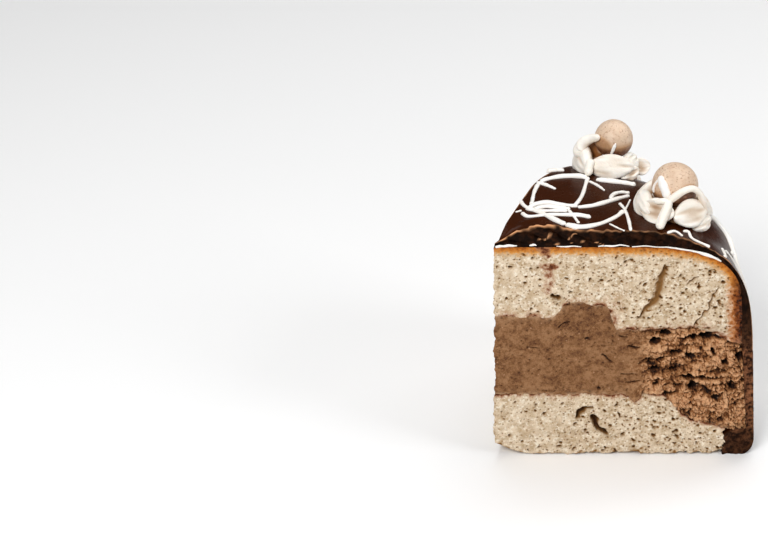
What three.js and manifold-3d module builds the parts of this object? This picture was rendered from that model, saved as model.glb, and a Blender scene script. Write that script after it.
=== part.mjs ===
// A slice of chocolate chestnut cake, in millimetres, +Z up.
// Two layers of speckled sponge with a chocolate filling between them stand under a domed
// chocolate glaze with strands of white chocolate. Two piped cream rosettes carry a chestnut
// ball each, and a row of piped shells runs round the foot of the outer wall.
// The slice is worked out from its tip: rho is the distance from the tip edge, phi the angle
// from the front cut, and the front cut lies in the plane y = 0 facing -Y.

import * as THREE from 'three';
import { ParametricGeometry } from 'three/addons/geometries/ParametricGeometry.js';
import { mergeGeometries, mergeVertices } from 'three/addons/utils/BufferGeometryUtils.js';
import Module from 'manifold-3d';

// The whole cake and the two cuts.
const cakeRadius = 110;
const cutLength = 101.4;
const wedgeAngle = THREE.MathUtils.degToRad(69.5);
const secondCutBow = 1.2;
const secondCutTurn = 8.5;
const tipLean = 2.3;
const shoulderSwell = 0.07;
const swellDegrees = { start: 7, full: 22, fade: 38, end: 60 };
const swellBelow = 0.25;
const gap = 0.35;

// Heights of the layers at the cut.
const glazeTop = 96.5;
const fillingTop = 61.3;
const fillingTipRise = 0.9;
const fillingBump = 5.8;
const fillingCrest = 2;
const lowerFillingTop = 56.3;
const fillingEdgeDrop = 6.2;
const bottomSpongeTop = 27.8;
const bottomSpongeDrop = 12.5;
const bottomSpongeTail = 2.8;
const bottomNotch = 3.2;
const bottomSpongeReach = 88.5;
const tipLift = 5.8;
const tipLiftReach = 20;
const outerLift = 1.6;

// The domed shoulder of the sponge and of the glaze over it.
const spongeShoulder = { reach: 42.7, drop: 26, power: 3, wall: 92.1, wallHeight: 66, slope: 0.08 };
const glazeShoulder = { reach: 51.5, drop: 49.5, power: 3.22, wall: 97.7, wallHeight: 47, slope: 0.08 };
const fillingFootReach = 97.6;
const footHeight = 11.6;
const footRound = 7;
const footInset = 4.5;
const glazeTipDrop = 2.5;

// The broken front edge of the glaze, how far its upper edge lies behind the cut.
const breakDeep = 4.1;
const breakMiddle = 3.9;
const breakShallow = 1.2;

// Steps of the meshes, and how far a surface may move when fine slivers are cleared away.
const sliver = 0.06;
const creamSliver = 0.18;
const lobeSides = 10;
const lobeRows = 5;
const stations = [
  0, 8, 16, 20, 22, 25, 28.2, 33, 37, 41, 44.1, 47.4, 51, 53, 55, 57.5, 62, 66.5, 71, 76.5, 81, 85,
  bottomSpongeReach, 92.5, fillingFootReach,
];
const stationSteps = stations.length - 1;
const bottomSteps = stations.indexOf(bottomSpongeReach);
const angleSteps = 8;
const flatSteps = 7;
const roundSteps = 15;
const roundPace = 1.6;
const wallSteps = 4;
const footSteps = 3;
const domeSteps = stationSteps;

// Toppings: each rosette is a low mound with lobes and rolls of cream on it. A lobe is a thick leaf:
// its middle (angle in degrees, distance, height over the glaze), its size (length, height,
// thickness), the way it faces, its lean and tilt in degrees, how deep it is cupped and how far its
// ends bend in. A roll is a list of angle, distance, height of its core over the glaze, and radius.
const rosettes = [
  {
    name: 'rosette_1',
    x: 46,
    y: 64,
    mound: { radius: 11, height: 7 },
    lobes: [
      { at: [266, 9.8, 4.2], size: [18.5, 10, 5.5], face: 266, lean: 28, tilt: 2, cup: 0.9, bend: 2 },
      { at: [191, 11.6, 4.2], size: [15, 11.5, 6.5], face: 191, lean: 20, tilt: -12, cup: 0.6, bend: 1 },
      { at: [329, 8.8, 6.4], size: [10.5, 8.5, 5], face: 320, lean: 25, tilt: 10, cup: 0.6, bend: 0.8 },
      { at: [306, 12.2, 2.4], size: [8.5, 6, 3.6], face: 290, lean: 20, tilt: 22, cup: 1.8, bend: 0.4 },
      { at: [347, 12.4, 6.2], size: [8, 7, 4.6], face: 290, lean: 30, tilt: 0, cup: 2.4, bend: 0 },
      { at: [160, 7.6, 8.2], size: [11, 10.5, 4], face: 215, lean: 10, tilt: 0, cup: 1, bend: 0.6 },
      { at: [34, 10.6, 4], size: [15.5, 9, 6], face: 34, lean: 25, tilt: 6, cup: 0.6, bend: 1.6 },
      { at: [106, 10.2, 4], size: [17, 9, 6], face: 106, lean: 25, tilt: -4, cup: 0.6, bend: 1.8 },
    ],
    rolls: [
      [
        [222, 6.4, 15.2, 1], [198, 8.1, 14, 1.7], [189, 10.9, 11.6, 2.2],
        [189, 12.4, 8.4, 2.5], [196, 12.4, 5, 2.3],
      ],
      [[224, 11.2, 6.2, 1.7], [229, 14, 3.2, 1.7], [235, 16.8, 1, 1.3]],
    ],
  },
  {
    name: 'rosette_2',
    x: 66.5,
    y: 25,
    mound: { radius: 11, height: 6 },
    lobes: [
      { at: [194, 12, 3.2], size: [15, 9.5, 6], face: 194, lean: 25, tilt: -10, cup: 0.4, bend: 1.2 },
      { at: [235, 12.6, 3.8], size: [14, 10, 4.8], face: 240, lean: 32, tilt: 4, cup: 2.2, bend: 0.8 },
      { at: [299, 12, 5.6], size: [14.5, 11, 5.5], face: 292, lean: 30, tilt: 8, cup: 1.8, bend: 0.8 },
      { at: [320, 14.2, 2.8], size: [10, 6, 4.8], face: 314, lean: 18, tilt: 10, cup: 0.7, bend: 0.8 },
      { at: [0, 12.4, 6], size: [12, 9.5, 5.5], face: 0, lean: 25, tilt: 0, cup: 0.6, bend: 1 },
      { at: [58, 12, 4], size: [16.5, 9, 6], face: 58, lean: 25, tilt: 6, cup: 0.6, bend: 1.6 },
      { at: [125, 12, 4], size: [17, 9, 6], face: 125, lean: 25, tilt: -4, cup: 0.6, bend: 1.6 },
    ],
    rolls: [
      [
        [254, 10.4, 8.4, 1.5], [280, 10.3, 13.2, 1.4], [302, 10.8, 15.2, 1.4],
        [317, 11.8, 14, 1.4], [325, 12.8, 10.8, 1.5], [332, 13.2, 6.4, 1.6],
      ],
      [[228, 11.6, 6.6, 0.9], [243, 11, 7.8, 1.2], [258, 10.6, 8.2, 1.4]],
      [[256, 10.6, 9, 1.5], [253, 13.8, 5.6, 1.9], [250, 17.3, 2.6, 1.9], [250, 20.4, 0.9, 1.6]],
    ],
  },
];
const balls = [
  { name: 'ball_1', x: 47, y: 64.5, z: 105.9, radius: 7.6 },
  { name: 'ball_2', x: 67, y: 25, z: 105.2, radius: 8.9 },
];

// The ribbon down the second ball: angles round and up, in degrees.
const ballRibbon = { from: 1.4, to: 1.4, line: [[-152, 40], [-140, 31], [-125, 18], [-117, 6]] };
const ribbonRoom = [[-156, 44], [-140, 31], [-125, 18], [-117, 6], [-112, -4]];

// The piped border at the foot of the wall.
const borderStart = THREE.MathUtils.degToRad(23);
const borderEnd = wedgeAngle - 0.09;
const shellCount = 6;
const shellDepth = 9;
const shellHeight = 12;
const shellRidges = 7;

const wasm = await Module();
wasm.setup();

const ease = (from, to, value) => THREE.MathUtils.smoothstep(value, from, to);
const blend = (from, to, share) => from + (to - from) * share;

// The cake's own centre lies on the bisector, a little beyond the tip.
const halfAngle = wedgeAngle / 2;
const tipOffset = (() => {
  const along = cutLength * Math.cos(halfAngle);
  return Math.sqrt(cakeRadius * cakeRadius - cutLength * cutLength + along * along) - along;
})();

// Distance from the tip to the wall at one angle, against that at the front cut. Behind the cut the
// shoulder stands out a little more than the foot.
function wallScale(phi, z) {
  const along = tipOffset * Math.cos(phi - halfAngle);
  const across = tipOffset * Math.sin(phi - halfAngle);
  const reach = Math.sqrt(cakeRadius * cakeRadius - across * across) - along;
  const degrees = THREE.MathUtils.radToDeg(phi);
  const rise = ease(swellDegrees.start, swellDegrees.full, degrees);
  const swell = shoulderSwell * (rise - ease(swellDegrees.fade, swellDegrees.end, degrees));
  return reach / cutLength * (1 + swell * blend(swellBelow, 1, ease(60, 82, z)));
}

// One point of the slice from its section point (rho, z), its share of the wedge angle and
// how far the two cuts are pushed in there.
function place(target, rho, z, share, frontPush, backPush) {
  const safe = Math.max(rho, 0.01);
  const first = Math.asin(Math.min(frontPush / safe, 0.6));
  const way = Math.min(safe / cutLength, 1);
  const bow = secondCutBow * Math.sin(Math.PI * way) - secondCutTurn * ease(0.42, 0.85, way);
  const last = wedgeAngle + bow / safe - Math.asin(Math.min(backPush / safe, 0.4));
  const phi = blend(first, last, share);
  const reach = rho * wallScale(phi, z);
  const lean = tipLean * (z / glazeTop) * (1 - Math.min(rho / cutLength, 1));
  return target.set(reach * Math.cos(phi) - lean, reach * Math.sin(phi), z);
}

// A point on a rounded shoulder: turn 0 is the end of the flat top, turn 1 the upright wall.
function shoulderPoint(shoulder, turn) {
  const angle = turn * Math.PI / 2;
  const across = Math.pow(Math.sin(angle), 2 / shoulder.power);
  const up = Math.pow(Math.max(Math.cos(angle), 0), 2 / shoulder.power);
  const z = shoulder.wallHeight + shoulder.drop * up;
  const wall = shoulder.wall + shoulder.slope * (shoulder.wallHeight - z);
  return [wall - shoulder.reach * (1 - across), z];
}

// A point on the wall below a shoulder.
function wallPoint(shoulder, z) {
  return [shoulder.wall + shoulder.slope * (shoulder.wallHeight - z), z];
}

// Height of the glaze skin over one distance from the tip, and over one plan point.
function skinHeight(rho) {
  const flatEnd = shoulderPoint(glazeShoulder, 0)[0];
  if (rho <= flatEnd) {
    return glazeTop - glazeTipDrop * (1 - ease(0, 14, rho));
  }
  let low = 0;
  let high = 1;
  for (let step = 0; step < 40; step += 1) {
    const middle = (low + high) / 2;
    if (shoulderPoint(glazeShoulder, middle)[0] < rho) {
      low = middle;
    } else {
      high = middle;
    }
  }
  return shoulderPoint(glazeShoulder, low)[1];
}

function skinAt(x, y) {
  const phi = Math.atan2(y, x);
  return skinHeight(Math.hypot(x, y) / wallScale(phi, glazeTop));
}

// Crumbly relief of the outer part of the filling: a rough field with a few deep hollows.
const hollows = [
  { rho: 63, z: 53, wide: 4, tall: 3, deep: 3.2 },
  { rho: 81, z: 52, wide: 6, tall: 3, deep: 3.4 },
  { rho: 76, z: 28, wide: 4, tall: 3.5, deep: 3 },
  { rho: 70, z: 42, wide: 5, tall: 3, deep: 2.2 },
  { rho: 87, z: 37, wide: 4, tall: 4, deep: 2.4 },
];

function crumble(rho, z, seed) {
  const amount = ease(52, 62, rho) * ease(8, 16, z) * (1 - ease(55, 59, z));
  if (amount === 0) {
    return 0;
  }
  const bend = 1.4 * Math.sin(0.61 * z + seed);
  const wave = Math.sin(0.83 * rho + bend) * Math.cos(0.74 * z + 0.4 * rho + seed);
  let depth = 0.8 + 0.8 * wave;
  hollows.forEach((hollow) => {
    const across = (rho - hollow.rho) / hollow.wide;
    const up = (z - hollow.z) / hollow.tall;
    depth += hollow.deep * Math.exp(-across * across - up * up);
  });
  return amount * depth;
}

const frontRelief = (rho, z) => crumble(rho, z, 0);
const backRelief = (rho, z) => crumble(rho, z, 2.1);

// The surfaces between the layers; away from the cut they wave a little.
function lowerSurface(rho, share) {
  const wave = 0.8 * Math.sin(0.09 * rho + 5 * share) * share * ease(0, 30, rho);
  const aside = (rho - 54) / 2.4;
  const notch = bottomNotch * Math.exp(-aside * aside) * (1 - ease(0, 0.3, share));
  const drop = bottomSpongeDrop * ease(62, 78, rho) + bottomSpongeTail * ease(76, 88, rho);
  return bottomSpongeTop - drop - notch + wave * (1 - ease(60, 80, rho));
}

function upperSurface(rho, share) {
  const crest = fillingCrest * Math.exp(-Math.pow((rho - 31) / 4, 2));
  const bump = fillingBump * (ease(21, 27, rho) - ease(42.2, 45.3, rho)) + crest;
  const fade = 1 - 0.7 * ease(0, 0.5, share);
  const step = (lowerFillingTop - fillingTop) * ease(42.2, 45.3, rho);
  const edge = fillingTipRise * (1 - ease(15, 19, rho)) - fillingEdgeDrop * ease(74, 92, rho);
  const hill = 1.4 * Math.exp(-Math.pow((rho - 73.5) / 3, 2));
  const middle = ease(0, 30, rho) * (1 - ease(70, 90, rho));
  const wave = 0.9 * Math.sin(0.11 * rho - 4 * share) * share * middle;
  return fillingTop + bump * fade + step + edge + hill * fade + wave;
}

// Joining patches to closed meshes.
function bare(geometry) {
  geometry.deleteAttribute('normal');
  geometry.deleteAttribute('uv');
  return geometry;
}

function weld(patches) {
  const welded = mergeVertices(mergeGeometries(patches.map(bare)), 1e-4);
  const index = welded.index.array;
  const kept = [];
  for (let corner = 0; corner < index.length; corner += 3) {
    const [a, b, c] = [index[corner], index[corner + 1], index[corner + 2]];
    if (a !== b && b !== c && c !== a) {
      kept.push(a, b, c);
    }
  }
  welded.setIndex(kept);
  return welded;
}

// A block of the slice: u runs outward, v from the lower to the upper side, w round the wedge.
function block(pointAt, stepsU, stepsV, stepsW) {
  return weld([
    new ParametricGeometry((u, w, target) => pointAt(target, u, 1, w), stepsU, stepsW),
    new ParametricGeometry((w, u, target) => pointAt(target, u, 0, w), stepsW, stepsU),
    new ParametricGeometry((u, v, target) => pointAt(target, u, v, 0), stepsU, stepsV),
    new ParametricGeometry((v, u, target) => pointAt(target, u, v, 1), stepsV, stepsU),
    new ParametricGeometry((w, v, target) => pointAt(target, 1, v, w), stepsW, stepsV),
  ]);
}

function solidOf(geometry) {
  const mesh = new wasm.Mesh({
    numProp: 3,
    vertProperties: new Float32Array(geometry.attributes.position.array),
    triVerts: new Uint32Array(geometry.index.array),
  });
  return new wasm.Manifold(mesh);
}

function geometryOf(solid) {
  const mesh = solid.getMesh();
  const geometry = new THREE.BufferGeometry();
  geometry.setAttribute('position', new THREE.BufferAttribute(new Float32Array(mesh.vertProperties), 3));
  geometry.setIndex(Array.from(mesh.triVerts));
  return geometry;
}

// Bottom sponge: flat below, its tip worn up a little, its outer side sloping down to the wall.
function bottomSpongePoint(target, u, v, w) {
  const rho = stations[Math.round(u * bottomSteps)];
  const worn = 1 - Math.min(rho / tipLiftReach, 1);
  const low = tipLift * worn * worn + outerLift * ease(80, bottomSpongeReach, rho);
  const high = lowerSurface(rho, w);
  const z = blend(low, high - gap / 2, v);
  const level = blend(low, high, v);
  return place(target, rho, z, w, frontRelief(rho, level), backRelief(rho, level));
}

// Where the dome of the sponge meets the filling at the wall.
const edgeHeight = lowerFillingTop - fillingEdgeDrop;
const edgePoint = wallPoint(spongeShoulder, edgeHeight + gap / 2);

// A section along the dome from the tip outward: flat, round the shoulder, then down the wall.
function domePoint(shoulder, step, endHeight) {
  if (step <= flatSteps) {
    const [flatEnd, top] = shoulderPoint(shoulder, 0);
    return [flatEnd * step / flatSteps, top];
  }
  const round = (step - flatSteps) / roundSteps;
  if (round <= 1) {
    return shoulderPoint(shoulder, Math.pow(round, roundPace));
  }
  const down = (step - flatSteps - roundSteps) / (domeSteps - flatSteps - roundSteps);
  return wallPoint(shoulder, blend(shoulder.wallHeight, endHeight, down));
}

// Filling: between the two surfaces, wrapped down outside the bottom sponge to the glaze's foot.
function fillingPoint(target, u, v, w) {
  const station = stations[Math.round(u * stationSteps)];
  const lowRho = station;
  const highRho = station * edgePoint[0] / fillingFootReach;
  const onFoot = ease(bottomSpongeReach, bottomSpongeReach + 3, lowRho);
  const low = blend(lowerSurface(lowRho, w), footHeight + gap / 2, onFoot);
  const high = upperSurface(highRho, w);
  const rho = blend(lowRho, highRho, v);
  const z = blend(low + gap / 2, high - gap / 2, v);
  const level = blend(low, high, v);
  return place(target, rho, z, w, frontRelief(rho, level), backRelief(rho, level));
}

// Top sponge: ruled between the filling's upper surface and the dome, closing at the wall.
function topSpongePoint(target, u, v, w) {
  const step = Math.round(u * stationSteps);
  const lowRho = stations[step] * edgePoint[0] / fillingFootReach;
  const lowZ = upperSurface(lowRho, w);
  const high = domePoint(spongeShoulder, step, edgePoint[1]);
  const rho = blend(lowRho, high[0], v);
  const atWall = step === stationSteps;
  const z = atWall ? edgePoint[1] : blend(lowZ + gap / 2, high[1], v);
  const level = atWall ? edgeHeight : blend(lowZ, high[1], v);
  return place(target, rho, z, w, frontRelief(rho, level), backRelief(rho, level));
}

// Glaze: a skin over the dome and down the wall, thickened to a pooled foot.
const glazeInner = {
  ...spongeShoulder,
  reach: spongeShoulder.reach + gap,
  drop: spongeShoulder.drop + gap,
  wall: spongeShoulder.wall + gap,
};

function innerSection(step) {
  if (step <= domeSteps) {
    return domePoint(glazeInner, step, edgePoint[1]);
  }
  const wallEnd = [fillingFootReach + gap, footHeight];
  if (step <= domeSteps + wallSteps) {
    const share = (step - domeSteps) / wallSteps;
    const wallStart = wallPoint(glazeInner, edgePoint[1]);
    return [blend(wallStart[0], wallEnd[0], share), blend(wallStart[1], wallEnd[1], share)];
  }
  const foot = [
    [bottomSpongeReach + 4, footHeight],
    [bottomSpongeReach + 0.6, footHeight - 3],
    [bottomSpongeReach + 2.8, 0],
  ];
  return foot[step - domeSteps - wallSteps - 1];
}

function outerSection(step) {
  const wallStart = flatSteps + roundSteps;
  if (step <= wallStart) {
    const point = domePoint(glazeShoulder, step, footRound);
    return [point[0], point[1] - glazeTipDrop * (1 - ease(0, 14, point[0]))];
  }
  const footStart = domeSteps + wallSteps;
  if (step <= footStart) {
    const down = (step - wallStart) / (footStart - wallStart);
    return wallPoint(glazeShoulder, blend(glazeShoulder.wallHeight, footRound, down));
  }
  const turn = (step - footStart) / footSteps * Math.PI / 2;
  const z = footRound * (1 - Math.sin(turn));
  return [wallPoint(glazeShoulder, footRound)[0] - footInset * (1 - Math.cos(turn)), z];
}

const glazeSteps = domeSteps + wallSteps + footSteps;

function brokenEdge(rho, step) {
  const ripple = 0.4 * Math.sin(0.9 * rho) + 0.3 * Math.sin(2.1 * rho + 1);
  const bite = breakDeep * Math.exp(-Math.pow((rho - 20) / 8.5, 2));
  const depth = breakShallow + breakMiddle * (1 - ease(58, 78, rho)) + bite;
  return step > flatSteps + roundSteps ? 0.7 : Math.min(0.6 * rho, depth + ripple);
}

function glazePoint(target, u, v, w) {
  const step = Math.round(u * glazeSteps);
  const inner = innerSection(step);
  const outer = outerSection(step);
  const rho = blend(inner[0], outer[0], v);
  const z = blend(inner[1], outer[1], v);
  const front = Math.min(0.6 * rho, blend(0.4, brokenEdge(outer[0], step), v));
  const back = Math.min(0.4 * rho, blend(0.3, 0.9, v));
  return place(target, rho, z, w, front, back);
}

// White chocolate strands, laid on the glaze, with the half width at both ends. The first list is in
// plan, the second follows the shoulder and wall: fall 0 is the end of the flat top, 1 the end of
// the shoulder and 2 the foot.
const topStrands = [
  { from: 1, to: 1.2, line: [[20.5, 55], [24, 56.4], [27.5, 57]] },
  { from: 1.1, to: 1.4, line: [[17.5, 45.5], [21, 48], [27, 50.3], [33, 50.7], [36, 49.5]] },
  { from: 0.9, to: 0.7, line: [[16, 45], [20, 42], [23, 39]] },
  { from: 0.8, to: 0.8, line: [[16.5, 43.5], [14.5, 36], [13, 26]] },
  { from: 0.9, to: 0.65, line: [[36.2, 50], [35, 44], [33, 34.5], [30.5, 27.5], [28, 24]] },
  { from: 0.7, to: 0.45, line: [[36.5, 46.5], [39.5, 42.5], [41.8, 38.2]] },
  { from: 1.2, to: 1.4, line: [[39.2, 48.2], [44, 47.2], [50, 46.4], [54.5, 45.5]] },
  { from: 1.1, to: 1, line: [[11.8, 23.3], [14.7, 26.3], [19.8, 27.5], [24.4, 25.8], [30.5, 24.6]] },
  { from: 1.1, to: 1, line: [[13.7, 22.5], [18.8, 24.2], [24.2, 22.9], [27.6, 22.5]] },
  { from: 1, to: 0.9, line: [[10.6, 22.9], [15.5, 20.8], [20.9, 20.8], [26.4, 20.8]] },
  { from: 1, to: 0.9, line: [[30.4, 23.7], [35.9, 25], [40.8, 27.6], [46.2, 31.2], [51, 34.2]] },
  { from: 0.8, to: 0.8, line: [[43.4, 31.1], [44.9, 34.7], [48, 37], [51.4, 36.8]] },
  {
    from: 0.9,
    to: 1,
    line: [
      [8.9, 19.1], [11.4, 16.2], [18.4, 17.5],
      [23.8, 17.5], [30.7, 17.1], [34.8, 15.4],
    ],
  },
  { from: 0.8, to: 1.2, line: [[9, 29], [10.7, 24.2], [16.9, 18.3], [21.2, 13.3], [24.8, 9.6]] },
  {
    from: 1.3,
    to: 0.9,
    line: [
      [24.8, 9.6], [28.9, 7.6], [33.1, 8],
      [38.7, 10.9], [44.1, 15.8], [47.6, 20.9],
    ],
  },
  { from: 0.6, to: 0.6, line: [[26.8, 21.6], [28.4, 16.6], [29.9, 10.9]] },
  { from: 0.65, to: 0.6, line: [[46.6, 27.3], [48.1, 22.2], [48.8, 14.2], [48.9, 5.2]] },
  { from: 0.6, to: 0.5, line: [[62.5, 4.7], [65.8, 7.1], [68.2, 4.1]] },
  { from: 0.6, to: 0.6, line: [[68.9, 8.6], [71, 9], [71.5, 4.8], [73.7, 2.8], [78.4, 2.1]] },
];
const fallStrands = [
  {
    from: 1.8,
    to: 1.6,
    line: [
      [0.45, 33], [0.53, 23.5], [0.61, 20], [0.68, 16],
      [0.78, 10], [0.95, 6], [1.15, 5],
    ],
  },
  { from: 0.7, to: 0.6, line: [[0.57, 9], [0.66, 9], [0.8, 4.5]] },
  { from: 0.7, to: 0.6, line: [[0.5, 2.2], [0.52, 3], [0.53, 8]] },
];

// More strands on the hidden wall, spread by a rule: by turns one runs down, slanting and growing
// wider, and the next hangs between its neighbours in a loop.
const wallStrands = 7;
for (let number = 0; number < wallStrands; number += 1) {
  const middle = blend(15, 60, (number + 0.5) / wallStrands) + 2 * Math.sin(5 * number);
  const uneven = Math.sin(2.3 * number);
  const half = 1.1 + 0.7 * Math.abs(Math.sin(1.7 * number));
  const running = [
    [0.66, middle - 5],
    [0.9, middle - 1],
    [1.2, middle + 2 + 2 * uneven],
    [1.5 + 0.12 * uneven, middle + 1],
  ];
  const hanging = [
    [0.8, middle - 9],
    [1.18 + 0.2 * uneven, middle - 5],
    [1.26 + 0.2 * uneven, middle + 3],
    [0.9, middle + 8],
  ];
  fallStrands.push({ from: 0.8 * half, to: half, line: number % 2 === 0 ? running : hanging });
}

function fallPoint(fall, degrees) {
  const phi = THREE.MathUtils.degToRad(degrees);
  const z = glazeShoulder.wallHeight * (2 - fall);
  const section = fall <= 1 ? shoulderPoint(glazeShoulder, fall) : wallPoint(glazeShoulder, z);
  return place(new THREE.Vector3(), section[0], section[1], phi / wedgeAngle, 0, 0);
}

// A smooth curve through a list of points of up to three numbers.
function smoothCurve(line) {
  const points = line.map((spot) => new THREE.Vector3(spot[0], spot[1], spot[2] ?? 0));
  return new THREE.CatmullRomCurve3(points, false, 'catmullrom', 0.5);
}

// Share of the full width near the two ends of a tube, which close in a half circle.
function endRound(along, length, half) {
  const near = Math.min(Math.min(along, 1 - along) * length / half, 1);
  return Math.sqrt(Math.max(1 - (1 - near) * (1 - near), 0));
}

// Shares of a path that lie closer together towards both ends.
const closer = (share) => 0.5 - 0.5 * Math.cos(Math.PI * share);

// A flat tube along a line on a surface; skin gives the surface's point for two coordinates.
function strandSolid(strand, skin, extra) {
  const curve = smoothCurve(strand.line);
  const steps = strand.line.length + 3;
  const step = 0.02;
  const onSkin = (along) => {
    const here = curve.getPoint(along);
    return skin(here.x, here.y);
  };
  const start = skin(strand.line[0][0], strand.line[0][1]);
  let length = 0;
  for (let part = 1; part <= 20; part += 1) {
    length += onSkin(part / 20).distanceTo(onSkin((part - 1) / 20));
  }
  const tube = new ParametricGeometry((share, around, target) => {
    const along = closer(share);
    const here = curve.getPoint(along);
    const point = share === 0 ? start.clone() : skin(here.x, here.y);
    const acrossOne = skin(here.x + step, here.y).sub(point);
    const acrossTwo = skin(here.x, here.y + step).sub(point);
    const normal = acrossOne.cross(acrossTwo).normalize();
    const forward = onSkin(Math.min(along + 0.01, 1)).sub(onSkin(Math.max(along - 0.01, 0))).normalize();
    const side = forward.cross(normal).normalize();
    const uneven = 1 + 0.12 * Math.sin(9 * share + 3 * strand.line[0][0]);
    const full = blend(strand.from, strand.to, along) * uneven + extra;
    const half = full * endRound(along, length, full);
    const turn = 2 * Math.PI * around;
    const tall = half * (0.8 * Math.sin(turn) + 0.15);
    return target.copy(point).addScaledVector(side, half * Math.cos(turn)).addScaledVector(normal, tall);
  }, steps, 4);
  return solidOf(weld([tube]));
}

// A round tube through places with a radius each; flat is its height over its width.
function tubeSolid(places, steps, sides, flat) {
  const curve = smoothCurve(places);
  const radii = smoothCurve(places.map((spot) => [spot[3], 0, 0]));
  const length = curve.getLength();
  const tube = new ParametricGeometry((share, around, target) => {
    const along = closer(share);
    const forward = curve.getPoint(Math.min(along + 0.01, 1)).sub(curve.getPoint(Math.max(along - 0.01, 0)));
    const side = forward.normalize().clone().cross(new THREE.Vector3(0, 0, 1)).normalize();
    const normal = side.clone().cross(forward);
    const radius = radii.getPoint(along).x;
    const half = radius * endRound(along, length, radius);
    const turn = 2 * Math.PI * (around % 1);
    target.copy(curve.getPoint(along)).addScaledVector(side, half * Math.cos(turn));
    return target.addScaledVector(normal, flat * half * Math.sin(turn));
  }, steps, sides);
  return solidOf(weld([tube]));
}

function planPoint(x, y) {
  return new THREE.Vector3(x, y, skinAt(x, y));
}

// A lobe of cream: a ball squeezed to a thick leaf, narrower at its ends, cupped and bent.
function lobeSolid(spec, lobe) {
  const [angle, out, up] = lobe.at;
  const [length, height, thick] = lobe.size;
  const [at, face, lean, tilt] = [angle, lobe.face, lobe.lean, lobe.tilt].map(THREE.MathUtils.degToRad);
  const middle = planPoint(spec.x + out * Math.cos(at), spec.y + out * Math.sin(at));
  middle.z += up;
  const outward = new THREE.Vector3(Math.cos(face), Math.sin(face), 0);
  const beside = new THREE.Vector3(-Math.sin(face), Math.cos(face), 0);
  const normal = outward.clone().applyAxisAngle(beside, -lean);
  const first = beside.clone().applyAxisAngle(normal, tilt);
  const second = normal.clone().cross(first);
  const leaf = new ParametricGeometry((share, rise, target) => {
    const around = 2 * Math.PI * (share % 1);
    const lift = Math.PI * (rise - 0.5);
    const along = Math.cos(lift) * Math.cos(around);
    const across = Math.cos(lift) * Math.sin(around);
    const outOf = Math.sin(lift);
    target.copy(middle).addScaledVector(first, 0.5 * length * along);
    target.addScaledVector(second, 0.5 * height * across * (1 - 0.3 * along * along));
    const step = 0.5 * thick * outOf - lobe.cup * outOf * outOf - lobe.bend * along * along;
    return target.addScaledVector(normal, step);
  }, lobeSides, lobeRows);
  return solidOf(weld([leaf]));
}

// A roll of cream: its path is smooth in angle, distance and height round the rosette's middle.
function rollSolid(spec, roll) {
  const curve = smoothCurve(roll);
  const radii = smoothCurve(roll.map((spot) => [spot[3], 0, 0]));
  const places = [];
  const parts = 2 * (roll.length - 1);
  for (let part = 0; part <= parts; part += 1) {
    const here = curve.getPoint(part / parts);
    const angle = THREE.MathUtils.degToRad(here.x);
    const x = spec.x + here.y * Math.cos(angle);
    const y = spec.y + here.y * Math.sin(angle);
    places.push([x, y, skinAt(x, y) + here.z, radii.getPoint(part / parts).x]);
  }
  return tubeSolid(places, 2 * roll.length - 1, 6, 1);
}

function moundSolid(spec) {
  const sides = 12;
  const around = (share) => 2 * Math.PI * (share % 1);
  const upper = new ParametricGeometry((share, rise, target) => {
    const reach = spec.mound.radius * Math.cos(rise * Math.PI / 2);
    const x = spec.x + reach * Math.cos(around(share));
    const y = spec.y + reach * Math.sin(around(share));
    return target.set(x, y, skinAt(x, y) + spec.mound.height * Math.sin(rise * Math.PI / 2));
  }, sides, 3);
  const lower = new ParametricGeometry((inward, share, target) => {
    const reach = spec.mound.radius * (1 - inward);
    const x = spec.x + reach * Math.cos(around(share));
    const y = spec.y + reach * Math.sin(around(share));
    return target.set(x, y, skinAt(x, y) - 2 * Math.min(inward, 1 - inward));
  }, 1, sides);
  return solidOf(weld([upper, lower]));
}

// The room that the glaze takes below a rosette, with a narrow gap over it.
function glazeRoom(spec) {
  const half = 19;
  const floor = 55;
  const cells = 8;
  const spot = (target, across, along, up) => {
    const x = spec.x + half * (2 * across - 1);
    const y = spec.y + half * (2 * along - 1);
    return target.set(x, y, blend(floor, skinAt(x, y) + gap + 0.1, up));
  };
  const side = (from) => new ParametricGeometry((share, up, target) => from(target, share, up), cells, 1);
  return solidOf(weld([
    new ParametricGeometry((across, along, target) => spot(target, across, along, 1), cells, cells),
    new ParametricGeometry((along, across, target) => spot(target, across, along, 0), cells, cells),
    side((target, share, up) => spot(target, share, 0, up)),
    side((target, share, up) => spot(target, 1 - share, 1, up)),
    side((target, share, up) => spot(target, 1, share, up)),
    side((target, share, up) => spot(target, 0, 1 - share, up)),
  ]));
}

// The same solid without hollows that are closed all round: only its outer shells.
function filled(solid) {
  return wasm.Manifold.union(solid.decompose().filter((part) => part.volume() > 0));
}

function rosetteSolid(spec) {
  const lobes = spec.lobes.map((lobe) => lobeSolid(spec, lobe));
  const rolls = spec.rolls.map((roll) => rollSolid(spec, roll));
  const whole = wasm.Manifold.union([moundSolid(spec), ...lobes, ...rolls]);
  return whole.subtract(glazeRoom(spec));
}

function ballSkin(spec, degrees, upward) {
  const up = THREE.MathUtils.degToRad(upward);
  const round = THREE.MathUtils.degToRad(degrees);
  const flat = spec.radius * Math.cos(up);
  return new THREE.Vector3(
    spec.x + flat * Math.cos(round),
    spec.y + flat * Math.sin(round),
    spec.z + spec.radius * Math.sin(up),
  );
}

// Piped border: a chain of ridged shells standing on the floor against the foot of the wall.
const borderWall = (phi) => (wallPoint(glazeShoulder, footRound)[0] + 0.4) * wallScale(phi, 0);

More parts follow.
